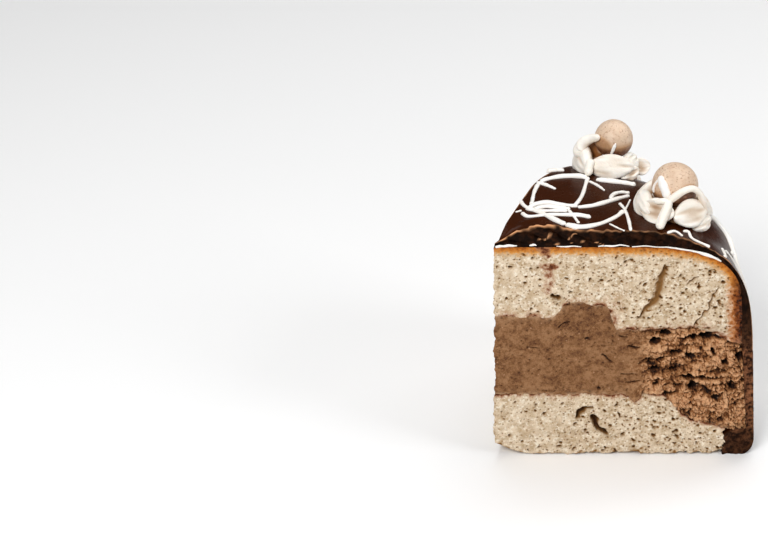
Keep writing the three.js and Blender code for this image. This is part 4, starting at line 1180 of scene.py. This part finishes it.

# %% [markdown]
# ### Strands on the flat top
# Here a strand is a list of plan points, with its half width at both ends. Each is set one by one,
# because the eye remembers how they cross.

# %% Strands on the flat top
top_strands = [
    (1, 1.2, [(20.5, 55), (24, 56.4), (27.5, 57)]),
    (1.1, 1.4, [(17.5, 45.5), (21, 48), (27, 50.3), (33, 50.7), (36, 49.5)]),
    (0.9, 0.7, [(16, 45), (20, 42), (23, 39)]),
    (0.8, 0.8, [(16.5, 43.5), (14.5, 36), (13, 26)]),
    (0.9, 0.65, [(36.2, 50), (35, 44), (33, 34.5), (30.5, 27.5), (28, 24)]),
    (0.7, 0.45, [(36.5, 46.5), (39.5, 42.5), (41.8, 38.2)]),
    (1.2, 1.4, [(39.2, 48.2), (44, 47.2), (50, 46.4), (54.5, 45.5)]),
    (1.1, 1, [(11.8, 23.3), (14.7, 26.3), (19.8, 27.5), (24.4, 25.8), (30.5, 24.6)]),
    (1.1, 1, [(13.7, 22.5), (18.8, 24.2), (24.2, 22.9), (27.6, 22.5)]),
    (1, 0.9, [(10.6, 22.9), (15.5, 20.8), (20.9, 20.8), (26.4, 20.8)]),
    (1, 0.9, [(30.4, 23.7), (35.9, 25), (40.8, 27.6), (46.2, 31.2), (51, 34.2)]),
    (0.8, 0.8, [(43.4, 31.1), (44.9, 34.7), (48, 37), (51.4, 36.8)]),
    (0.9, 1, [(8.9, 19.1), (11.4, 16.2), (18.4, 17.5), (23.8, 17.5), (30.7, 17.1), (34.8, 15.4)]),
    (0.8, 1.2, [(9, 29), (10.7, 24.2), (16.9, 18.3), (21.2, 13.3), (24.8, 9.6)]),
    (1.3, 0.9, [(24.8, 9.6), (28.9, 7.6), (33.1, 8), (38.7, 10.9), (44.1, 15.8), (47.6, 20.9)]),
    (0.6, 0.6, [(26.8, 21.6), (28.4, 16.6), (29.9, 10.9)]),
    (0.65, 0.6, [(46.6, 27.3), (48.1, 22.2), (48.8, 14.2), (48.9, 5.2)]),
    (0.4, 0.4, [(51, 30.7), (49.1, 24.4), (48.1, 21.7)]),
    (0.4, 0.4, [(41.3, 10.5), (44.1, 7.2), (46.6, 4.8)]),
    (0.4, 0.5, [(6.6, 20), (9, 21.2)]),
    (0.6, 0.5, [(62.5, 4.7), (65.8, 7.1), (68.2, 4.1)]),
    (0.6, 0.6, [(68.9, 8.6), (71, 9), (71.5, 4.8), (73.7, 2.8), (78.4, 2.1)]),
]
print(len(top_strands), "strands on the flat top")

# %% [markdown]
# ### Strands down the wall
# Down the shoulder and the wall a strand is a list of falls and angles. Wide strands run down and hang
# in loops by turns, thin ones cross them, and three curl into circles. Those follow a rule with sines
# in it, which looks scattered but is the same each time.

# %% Strands down the wall
fall_strands = [
    (1.8, 1.6, [(0.45, 33), (0.53, 23.5), (0.61, 20), (0.68, 16), (0.78, 10), (0.95, 6), (1.15, 5)]),
    (0.7, 0.6, [(0.57, 9), (0.66, 9), (0.8, 4.5)]),
    (0.7, 0.6, [(0.5, 2.2), (0.52, 3), (0.53, 8)]),
    (0.9, 0.7, [(0.36, 38), (0.55, 40.5), (0.8, 38), (1.1, 36)]),
    (0.6, 0.5, [(0.42, 40.5), (0.6, 37), (0.82, 31)]),
    (1, 0.8, [(0.92, 9), (1.12, 17), (0.98, 26), (1.22, 37), (1, 47), (1.2, 57), (1.02, 63)]),
    (0.7, 0.5, [(1.5, 10), (1.3, 19), (1.46, 30), (1.34, 41), (1.52, 50), (1.4, 60)]),
    (0.6, 0.8, [(0.8, 62), (0.74, 50), (0.86, 41), (0.76, 30), (0.9, 20), (1.3, 13)]),
]
wall_strands, thin_strands = 7, 9
circles, circle_tall, circle_wide = ((0.98, 27), (1.12, 44), (1, 58)), 0.19, 5.5


def wall_strand(number):
    """Wide strand on the wall: even ones run down it, odd ones hang in a loop, with sines of the
    number for what differs."""
    middle = blend(15, 60, (number + 0.5) / wall_strands) + 2 * math.sin(5 * number)
    uneven, half = math.sin(2.3 * number), 1.1 + 0.7 * abs(math.sin(1.7 * number))
    low = 1.18 + 0.2 * uneven
    running = [(0.66, -5), (0.9, -1), (1.2, 2 + 2 * uneven), (1.5 + 0.12 * uneven, 1)]
    hanging = [(0.8, -9), (low, -5), (low + 0.08, 3), (0.9, 8)]
    path = hanging if number % 2 else running
    return 0.8 * half, half, [(fall, middle + beside) for fall, beside in path]


def thin_strand(number):
    """Thin strand that sways down the wall, with sines of the number for what differs."""
    middle = blend(12, 60, (number + 0.5) / thin_strands) + 3 * math.sin(3 * number)
    sway, half = 2.5 * math.cos(2 * number), 0.4 + 0.25 * abs(math.sin(number))
    path = [(0.74 + 0.1 * math.sin(1.9 * number), 7), (0.96, 2 + sway)]
    path += [(1.2 + 0.1 * math.sin(2.7 * number), -5), (1.42 + 0.1 * math.cos(number), sway - 2)]
    return half, 0.7 * half, [(fall, middle + beside) for fall, beside in path]


fall_strands += [wall_strand(number) for number in range(wall_strands)]
fall_strands += [thin_strand(number) for number in range(thin_strands)]
for fall, degrees in circles:
    turns = [(math.cos(turn), math.sin(turn)) for turn in np.linspace(0.6, 6.4, 7)]
    circle = [(fall + circle_tall * up, degrees + circle_wide * across) for up, across in turns]
    fall_strands.append((0.8, 0.6, circle))
print(len(fall_strands), "strands down the wall")

# %% [markdown]
# ### Laying the strands
# Each list of places becomes points of the glaze by its own function. A few crumbs of white chocolate
# and a thin line of it also sit on the broken front edge.

# %% Laying the strands
break_strands = [
    [(0.6, 0.1, 0.5), (2.2, 0.14, 0.6), (3.8, 0.1, 0.45), (5.4, 0.16, 0.5), (7.6, 0.1, 0.3),
     (9, 0.08, 0.2)],
    [(13.6, 0.1, 0.3), (15.2, 0.14, 0.4), (16.4, 0.1, 0.2)],
    [(24, 0.06, 0.15), (27.5, 0.03, 0.25), (31, 0.05, 0.2), (33.6, 0.03, 0.15)],
    [(40, 0.05, 0.15), (43, 0.1, 0.3), (45.6, 0.07, 0.35), (49, 0.11, 0.25), (52, 0.06, 0.15)],
    [(53, 0.04, 0.15), (58, 0.07, 0.25), (63, 0.05, 0.2), (68, 0.07, 0.3), (73, 0.06, 0.3),
     (77.4, 0.09, 0.4), (80.6, 0.1, 0.55), (83.4, 0.14, 0.5), (86, 0.12, 0.3)],
]


def top_skin(x, y):
    """Point of the glaze over a plan point."""
    return np.stack([x, y, skin_at(x, y)], axis=-1)


def fall_skin(fall, degrees):
    """Point of the glaze at one angle: fall 0 is the end of the flat top, 1 the end of the shoulder
    and 2 the foot of the wall."""
    rho, z = shoulder_point(glaze_shoulder, np.clip(fall, 0, 1))
    wall_z = glaze_shoulder["foot"] * (2 - fall)
    wall = wall_reach(glaze_shoulder, wall_z)
    rho, z = np.where(fall <= 1, rho, wall), np.where(fall <= 1, z, wall_z)
    return place(rho, z, np.radians(degrees) / wedge)


def break_skin(rho, v):
    """Point of the broken front face: rho on the glaze's outer line, v up the face."""
    column = np.interp(rho, outer_rho[:columns_dome], column_share[:columns_dome])
    return glaze_point(column, v, np.zeros_like(v))[0]


def with_width(start, end, line):
    """The same path with a half width at each point, from start to end."""
    return [(*spot, blend(start, end, part)) for spot, part in zip(line, steps(len(line)))]


strands = [strand(with_width(*spec), top_skin) for spec in top_strands]
strands += [strand(with_width(*spec), fall_skin) for spec in fall_strands]
strands += [strand(line, break_skin) for line in break_strands]
add_piece("white_strands", strands, white, "cream", "chocolate_glaze")

# %% [markdown]
# ## Rosettes
# Whipped cream, squeezed from a nozzle that turns, falls into broad lobes that lean on one another
# and leave dark hollows. Each lobe is a thick leaf: a squeezed ball, pointed at both ends and cupped
# on its outer side. A few rolls make the lips and legs, and a low mound fills the middle. One ridged
# ring would be simpler, but it would look like a machine's work.


# %% Cream finish
def cream_finish():
    """Warm white, with painted shade that turns it ochre in folds, hollows and undersides, by the
    mesh's number.
    """
    material, tree = start_finish("piped cream")
    colour = tinted(tree, noise(tree, 7, 4), (0.3, 238, 229, 216), (0.7, 250, 245, 237))
    # Painted shade: the mesh's number darkens the cream towards ochre.
    fold_shade = attribute(tree, "fold_shade")
    shade = tinted(tree, fold_shade, (0, 224, 206, 182), (0.5, 196, 166, 132), (1, 140, 88, 42))
    colour = mixed(tree, between(tree, fold_shade, 0.05, 0.75), colour, shade)
    look = {"Base Color": colour, "Roughness": 0.5, **soft_light(0.12, 2, 1.4, 1)}
    return end_finish(material, look, noise(tree, 1.3, 4), 0.2)


cream = cream_finish()

# %% [markdown]
# ### Lobes and rolls
# A lobe is given by its angle, distance and height from the rosette's middle, its length, height and
# thickness, the way it faces, how far it leans back and tilts, its cup and its bend. One lobe behind a
# ball also has a last number, which paints shade over its front. A roll is a list of angles,
# distances, heights and radii.

# %% Places of lobes and rolls
rosette_1 = {"centre": (46, 64), "core": (11, 7)}
rosette_1["lobes"] = [
    ((266, 9.8, 4.2), (18.5, 10, 5.5), 266, 28, 2, 0.9, 2),
    ((191, 11.6, 4.2), (15, 11.5, 6.5), 191, 20, -12, 0.6, 1),
    ((329, 8.8, 6.4), (10.5, 8.5, 5), 320, 25, 10, 0.6, 0.8),
    ((306, 12.2, 2.4), (8.5, 6, 3.6), 290, 20, 22, 1.8, 0.4),
    ((347, 12.4, 6.2), (8, 7, 4.6), 290, 30, 0, 2.4, 0),
    # This lobe, behind the hood, has its front painted with shade.
    ((160, 7.6, 8.2), (11, 10.5, 4), 215, 10, 0, 1, 0.6, 1),
    ((34, 10.6, 4), (15.5, 9, 6), 34, 25, 6, 0.6, 1.6),
    ((106, 10.2, 4), (17, 9, 6), 106, 25, -4, 0.6, 1.8),
]
rosette_1["rolls"] = [
    [(222, 6.4, 15.2, 1), (198, 8.1, 14, 1.7), (189, 10.9, 11.6, 2.2), (189, 12.4, 8.4, 2.5),
     (196, 12.4, 5, 2.3)],
    [(224, 11.2, 6.2, 1.7), (229, 14, 3.2, 1.7), (235, 16.8, 1, 1.3)],
]
rosette_2 = {"centre": (66.5, 25), "core": (11, 6)}
rosette_2["lobes"] = [
    ((194, 12, 3.2), (15, 9.5, 6), 194, 25, -10, 0.4, 1.2),
    ((235, 12.6, 3.8), (14, 10, 4.8), 240, 32, 4, 2.2, 0.8),
    ((299, 12, 5.6), (14.5, 11, 5.5), 292, 30, 8, 1.8, 0.8),
    ((320, 14.2, 2.8), (10, 6, 4.8), 314, 18, 10, 0.7, 0.8),
    ((0, 12.4, 6), (12, 9.5, 5.5), 0, 25, 0, 0.6, 1),
    ((58, 12, 4), (16.5, 9, 6), 58, 25, 6, 0.6, 1.6),
    ((125, 12, 4), (17, 9, 6), 125, 25, -4, 0.6, 1.6),
]
rosette_2["rolls"] = [
    [(254, 10.4, 8.4, 1.5), (280, 10.3, 13.2, 1.4), (302, 10.8, 15.2, 1.4), (317, 11.8, 14, 1.4),
     (325, 12.8, 10.8, 1.5), (332, 13.2, 6.4, 1.6)],
    [(228, 11.6, 6.6, 0.9), (243, 11, 7.8, 1.2), (258, 10.6, 8.2, 1.4)],
    [(256, 10.6, 9, 1.5), (253, 13.8, 5.6, 1.9), (250, 17.3, 2.6, 1.9), (250, 20.4, 0.9, 1.6)],
]
print(len(rosette_1["lobes"]) + len(rosette_2["lobes"]), "lobes of cream")

# %% [markdown]
# ### The shape of a lobe
# A sphere gives the grid. Its length, height and thickness are bent by squares of its own coordinates
# into a leaf, which is then turned to face outward.


# %% The shape of a lobe
def over_glaze(spec, degrees, out, up):
    """Point at an angle and distance from a rosette's middle, at a height over the glaze below it."""
    x = spec["centre"][0] + out * np.cos(np.radians(degrees))
    y = spec["centre"][1] + out * np.sin(np.radians(degrees))
    return np.stack([x, y, skin_at(x, y) + up], axis=-1)


def soft_dents(along, across, out_of, turn):
    """Streaky dents in the skin of a lobe: waves along it, on each side their own, and one sine."""
    streaks = waves(2.6 * along + 1.5 * across, 5 * across + 9 * (out_of < 0), 1.6, 1.3, turn)
    level = np.sqrt(np.maximum(1 - out_of**2, 0))
    return 0.8 * streaks * level**0.5 + 0.25 * np.sin(7 * across + 3 * along + turn) * level


def turned(parts, face, lean, tilt):
    """Steps along a lobe, up it and out of it, as points: turned by face about the upright, leaned
    back by lean and tilted by tilt, in degrees."""
    facing, lean, tilt = np.radians([face, lean, tilt])
    outward = np.array([np.cos(facing), np.sin(facing), 0])
    beside, above = np.array([-np.sin(facing), np.cos(facing), 0]), np.array([0, 0, 1])
    normal = np.cos(lean) * outward + np.sin(lean) * above
    rising = np.cos(lean) * above - np.sin(lean) * outward
    first = np.cos(tilt) * beside + np.sin(tilt) * rising
    second = np.cos(tilt) * rising - np.sin(tilt) * beside
    return sum(part[..., None] * way for part, way in zip(parts, (first, second, normal)))


def lobe(spec, at, size, face, lean, tilt, cup, bend, dark=0):
    """Thick leaf: a sphere scaled to length, height and thickness, narrowed towards both ends by its
    length squared, cupped by its thickness squared and bent round the ball by its length squared.
    It stands at its place facing outward, leaning back and tilted, with soft dents."""
    length, height, thick = size
    rows = blend(-np.pi / 2, np.pi / 2, steps(61))
    around, rise = np.meshgrid(steps(97) * 2 * np.pi % (2 * np.pi), rows, indexing="ij")
    along, across, out_of = np.cos(rise) * np.cos(around), np.cos(rise) * np.sin(around), np.sin(rise)
    dents = soft_dents(along, across, out_of, at[0])
    step_out = 0.5 * thick * out_of - cup * out_of**2 - bend * along**2 + 0.5 * dents
    parts = (0.5 * length * along, 0.5 * height * across * (1 - 0.3 * along**2), step_out)
    # Painted shade: darker in the middle of the cup, on the inner side towards the ball, in sunken
    # dents, and over the front of a lobe with dark set.
    inside = ease(0, -0.4, out_of)
    hollow_shade = 0.3 * cup * np.maximum(out_of, 0) ** 4 + 0.5 * inside * (1 - dark)
    fold_shade = np.clip(hollow_shade - 0.55 * dents + dark * (1 - inside), 0, 1)
    return over_glaze(spec, *at) + turned(parts, face, lean, tilt), {"fold_shade": fold_shade}


print("a point over a rosette's middle:", over_glaze(rosette_1, 0, 0, 5).round(1))

# %% [markdown]
# ### Rolls, mounds and the two rosettes
# Rolls use the same tube as the strands, with softer lumps. A low mound closes the middle under the
# ball, with shade painted on its front, where it can be seen between the lobes.


# %% Rolls, mounds and the two rosettes
def roll(spec, line):
    """Round tube along a path of (degrees, out, up, radius) points round the rosette's middle, with
    soft lumps."""
    degrees, out, up, half = smooth_path(line, path_points * len(line)).T
    points = over_glaze(spec, degrees, out, up)
    ahead = unit(np.gradient(points, axis=0))
    side = unit(np.cross(ahead, [0, 0, 1]))
    turn = (np.linspace(0, 2 * np.pi, 41) % (2 * np.pi))[None]
    along = steps(len(half))[:, None]
    radius = 1 + 0.14 * waves(5 * along + 0 * turn, 3 * np.cos(turn) + 0 * along, 1.1, 1.6, line[0][0])
    grid = tube(points, side, np.cross(side, ahead), half, radius * np.cos(turn), radius * np.sin(turn))
    # Painted shade on the underside of the tube.
    return grid, {"fold_shade": np.clip(0.15 - 0.3 * np.sin(turn) + 0 * along, 0, 0.8)}


def mound(spec):
    """Low dome inside the lobes: a quarter ellipse over the glaze, with its underside."""
    radius, height = spec["core"]
    around, rise = np.meshgrid(steps(97), steps(25) * np.pi / 2, indexing="ij")
    degrees, reach = 360 * (around % 1), radius * np.cos(rise)
    upper = over_glaze(spec, degrees, reach, height * np.sin(rise))
    under = over_glaze(spec, degrees, reach, 0).transpose(1, 0, 2)
    # Painted shade on the mound's front, towards the front cut, and light behind.
    dim = blend(0.9, 0.15, ease(-0.3, 0.3, np.sin(np.radians(degrees))))
    return [(upper, {"fold_shade": dim}), (under, {"fold_shade": dim.T})]


for name, spec in (("rosette_1", rosette_1), ("rosette_2", rosette_2)):
    patches = [lobe(spec, *shape) for shape in spec["lobes"]]
    patches += [roll(spec, line) for line in spec["rolls"]] + mound(spec)
    add_piece(name + "_cream", patches, cream, "cream", name)

# %% [markdown]
# ## Chestnut balls
# The balls are rolled by hand from chestnut paste: nearly round, pinkish beige, with shade painted
# below, and tiny brown specks.


# %% Chestnut finish
def chestnut_finish():
    """Beige, with painted shade that turns it ochre and brown below by the mesh's number, with soft
    spots and fine specks.
    """
    material, tree = start_finish("chestnut paste")
    colour = tinted(tree, noise(tree, 5, 5), (0.3, 208, 178, 150), (0.7, 228, 203, 178))
    # Painted shade: the below number turns the colour ochre, then dark brown.
    below = attribute(tree, "below")
    colour = touched(tree, colour, between(tree, below, 0, 0.6, 0, 0.8), 182, 132, 80)
    colour = touched(tree, colour, between(tree, below, 0.5, 1), 98, 52, 22)
    spots = between(tree, noise(tree, 1.2, 4, 0.7), 0.5, 0.72, 0, 0.5)
    specks = between(tree, noise(tree, 0.8, 2), 0.6, 0.68, 0, 0.7)
    colour = touched(tree, touched(tree, colour, spots, 190, 146, 116), specks, 146, 96, 66)
    look = {"Base Color": colour, "Roughness": 0.5, **soft_light(0.1, 2, 1.2, 0.8)}
    return end_finish(material, look, noise(tree, 1.1, 5), 0.25)


chestnut = chestnut_finish()

# %% [markdown]
# ### The shape of a ball
# Only a hair from a sphere: two slow waves move its points in and out. The finish gets a number for
# the shade painted below the ball and where the cream beside it shades it.

# %% The shape of a ball
# Painted shade: one patch per ball where cream shades it (direction round and up, width in degrees,
# strength), and a fall to dark below from shade_start down to shade_end, in shares of the radius.
shades = {"ball_1": (-133, -14, 44, 0.62), "ball_2": (-59, -6, 38, 1)}
shade_start, shade_end = 0.3, -0.4


def ball_skin(spec, degrees, upward):
    """Point of a sphere by its angles round and up, in degrees."""
    around, up = np.radians(degrees), np.radians(upward)
    ways = [np.cos(up) * np.cos(around), np.cos(up) * np.sin(around), np.sin(up)]
    return np.array(spec["centre"]) + spec["radius"] * np.stack(np.broadcast_arrays(*ways), axis=-1)


def ball_patch(spec, seed, shaded):
    """A sphere whose points are moved in and out by a few slow waves. Shade is painted on it below, and
    round one direction where the cream shades it."""
    around, up = np.meshgrid(steps(97) * 360 % 360, blend(-90, 90, steps(65)), indexing="ij")
    spot = ball_skin(spec, around, up) - np.array(spec["centre"])
    a, b, c = (spot / spec["radius"]).transpose(2, 0, 1)
    uneven = 0.012 * np.sin(3 * a + 2 * b + seed) + 0.01 * np.sin(4 * c - 3 * b + 2 * seed)
    degrees, upward, wide, dark = shaded
    toward = ball_skin({"centre": (0, 0, 0), "radius": 1}, degrees, upward)
    close = a * toward[0] + b * toward[1] + c * toward[2]
    near = ease(math.cos(math.radians(wide)), math.cos(math.radians(0.6 * wide)), close)
    below = np.maximum(ease(shade_start, shade_end, c), dark * near)
    return np.array(spec["centre"]) + spot * (1 + uneven)[..., None], {"below": below}


for name, spec, seed in (("ball_1", ball_1, 1.0), ("ball_2", ball_2, 2.5)):
    patches = [ball_patch(spec, seed, shades[name])]
    add_piece(name + "_chestnut", patches, chestnut, "chestnut", name)

# %% [markdown]
# ### Strands over the balls
# A broad strand and a thin one run down the front ball, and a short streak runs down the rear ball.

# %% Strands over the balls
front_lines = [
    [(-152, 40, 1.2), (-140, 31, 1.6), (-125, 18, 1.6), (-116, 2, 1.5), (-111, -14, 1.4)],
    [(-150, 32, 0.5), (-158, 16, 0.5), (-160, 2, 0.6), (-158, -8, 0.5)],
]
rear_lines = [[(-89, 12, 0.4), (-93, 0, 0.6), (-101, -26, 0.6)]]


def ball_strands(spec, lines):
    """Strands along lines of (degrees round, degrees up, half width) points on a ball."""
    return [strand(line, lambda degrees, upward: ball_skin(spec, degrees, upward)) for line in lines]


add_piece("ball_2_strands", ball_strands(ball_2, front_lines), white, "cream", "ball_2")
add_piece("ball_1_streak", ball_strands(ball_1, rear_lines), white, "cream", "ball_1")

# %% [markdown]
# ## Border
# A chain of piped shells runs round the foot of the wall. Each shell swells and tapers, and the star
# nozzle leaves ridges along it. The chain is one tube along the wall's foot with both laws in its
# radius.

# %% Border of shells
border_start, border_end = math.radians(23), wedge - 0.09
shell_count, shell_depth, shell_height, shell_ridges = 6, 9, 12, 7
shell_columns, shell_rows = 36, 113
border_wall = wall_reach(glaze_shoulder, foot_round) + 0.4


def border_point(along, around):
    """Oval carried round the wall's foot: it swells once per shell and is ridged by a cosine."""
    phi = blend(border_start, border_end, along)
    part = np.where(along == 1, 1, (along * shell_count) % 1)
    swell = np.where(along == 1, 0.75, 0.72 + 0.28 * np.sin(np.pi * part**0.7))
    turn = 2 * np.pi * (around % 1)
    ridge = 1 + 0.1 * np.cos(shell_ridges * turn + 2.5 * part)
    across = shell_depth * (0.42 + 0.58 * swell * ridge * np.cos(turn))
    up = np.maximum(shell_height * (0.4 + 0.6 * swell * ridge * np.sin(turn)), 0)
    reach = border_wall * wall_scale(phi, 0) + np.maximum(across, 0)
    spot = np.stack([reach * np.cos(phi), reach * np.sin(phi), up], axis=-1)
    # Painted shade in the grooves between ridges and where the shells narrow.
    return spot, {"fold_shade": np.clip(1.2 * (1 - ridge * swell), 0, 0.6)}


def border_cap(along, turned_over):
    """A flat fan from the end ring to its middle."""
    inward, around = np.meshgrid(steps(2), steps(shell_rows), indexing="ij")
    rim, numbers = border_point(np.full(around.shape, float(along)), around)
    spot = blend(rim, rim[:1, :-1].mean(axis=1, keepdims=True), inward[..., None])
    if turned_over:
        return spot.transpose(1, 0, 2), {"fold_shade": numbers["fold_shade"].T}
    return spot, numbers


rings = np.meshgrid(steps(shell_count * shell_columns + 1), steps(shell_rows), indexing="ij")
border_patches = [border_point(*rings), border_cap(0, True), border_cap(1, False)]
add_piece("border_shells", border_patches, cream, "cream", "base_border")

# %% [markdown]
# ## Floor
# The slice stands on a plain white table. One large square is enough, since only its light and the
# slice's shadow are seen. It is not attached to the slice's body.

# %% Floor
floor_half = 3.0


def add_floor():
    """A white square, not attached to the slice's body."""
    mesh = bpy.data.meshes.new("floor")
    signs = ((-1, -1), (1, -1), (1, 1), (-1, 1))
    mesh.from_pydata([(floor_half * x, floor_half * y, 0) for x, y in signs], [], [(0, 1, 2, 3)])
    material, tree = start_finish("white table")
    look = {"Base Color": screen(250, 250, 250), "Roughness": 0.6}
    join(tree, tree.nodes["Principled BSDF"], look)
    mesh.materials.append(material)
    floor = bpy.data.objects.new("floor", mesh)
    bpy.context.scene.collection.objects.link(floor)
    print("floor of", 2 * floor_half, "metres")


add_floor()

# %% [markdown]
# ## Light
# Soft studio light: a dim sky all round, a large soft window from the front left and weaker ones from
# the right, from above and from behind. One small lamp would throw a hard shadow into every pore.

# %% Light
light_aim, sky_strength = (0, 0, 0.05), 0.11


def add_window(name, spot, size, power):
    """A square soft light at spot, metres from the slice, turned to face it."""
    light = bpy.data.lights.new(name, "AREA")
    light.size, light.energy = size, power
    lamp = bpy.data.objects.new(name, light)
    lamp.location = spot
    x, y, z = np.array(light_aim) - np.array(spot)
    lamp.rotation_euler = (math.atan2(math.hypot(x, y), -z), 0, math.atan2(-x, y))
    bpy.context.scene.collection.objects.link(lamp)
    print(name, "of", power, "watts")


world = bpy.data.worlds.new("studio")
bpy.context.scene.world = world
world.use_nodes = True
join(world.node_tree, world.node_tree.nodes["Background"], {0: (1, 1, 1, 1), 1: sky_strength})
add_window("front window", (-0.5, -0.9, 0.9), 0.5, 12.5)
add_window("right window", (0.9, -0.4, 0.7), 0.5, 4)
add_window("top window", (0, 0.3, 1.2), 0.7, 6)
add_window("rear window", (0.8, 0.6, 0.8), 0.5, 2.5)
bpy.context.scene.view_settings.view_transform = "Standard"

# %% [markdown]
# ## Camera
# A long lens at the height from which such a cake is shown, a little to the left of the slice. A short
# lens close by would make the front cut bulge.

# %% Camera
view_pitch = 29
camera_spot = np.array([-43.16, -785.5, 516.7])
lens = bpy.data.cameras.new("camera")
lens.lens, lens.sensor_width = 112.5, 36
camera = bpy.data.objects.new("camera", lens)
camera.location = (camera_spot + tip_place) / 1000
camera.rotation_euler = (math.radians(90 - view_pitch), 0, 0)
bpy.context.scene.collection.objects.link(camera)
bpy.context.scene.camera = camera
print("camera at", camera.location)
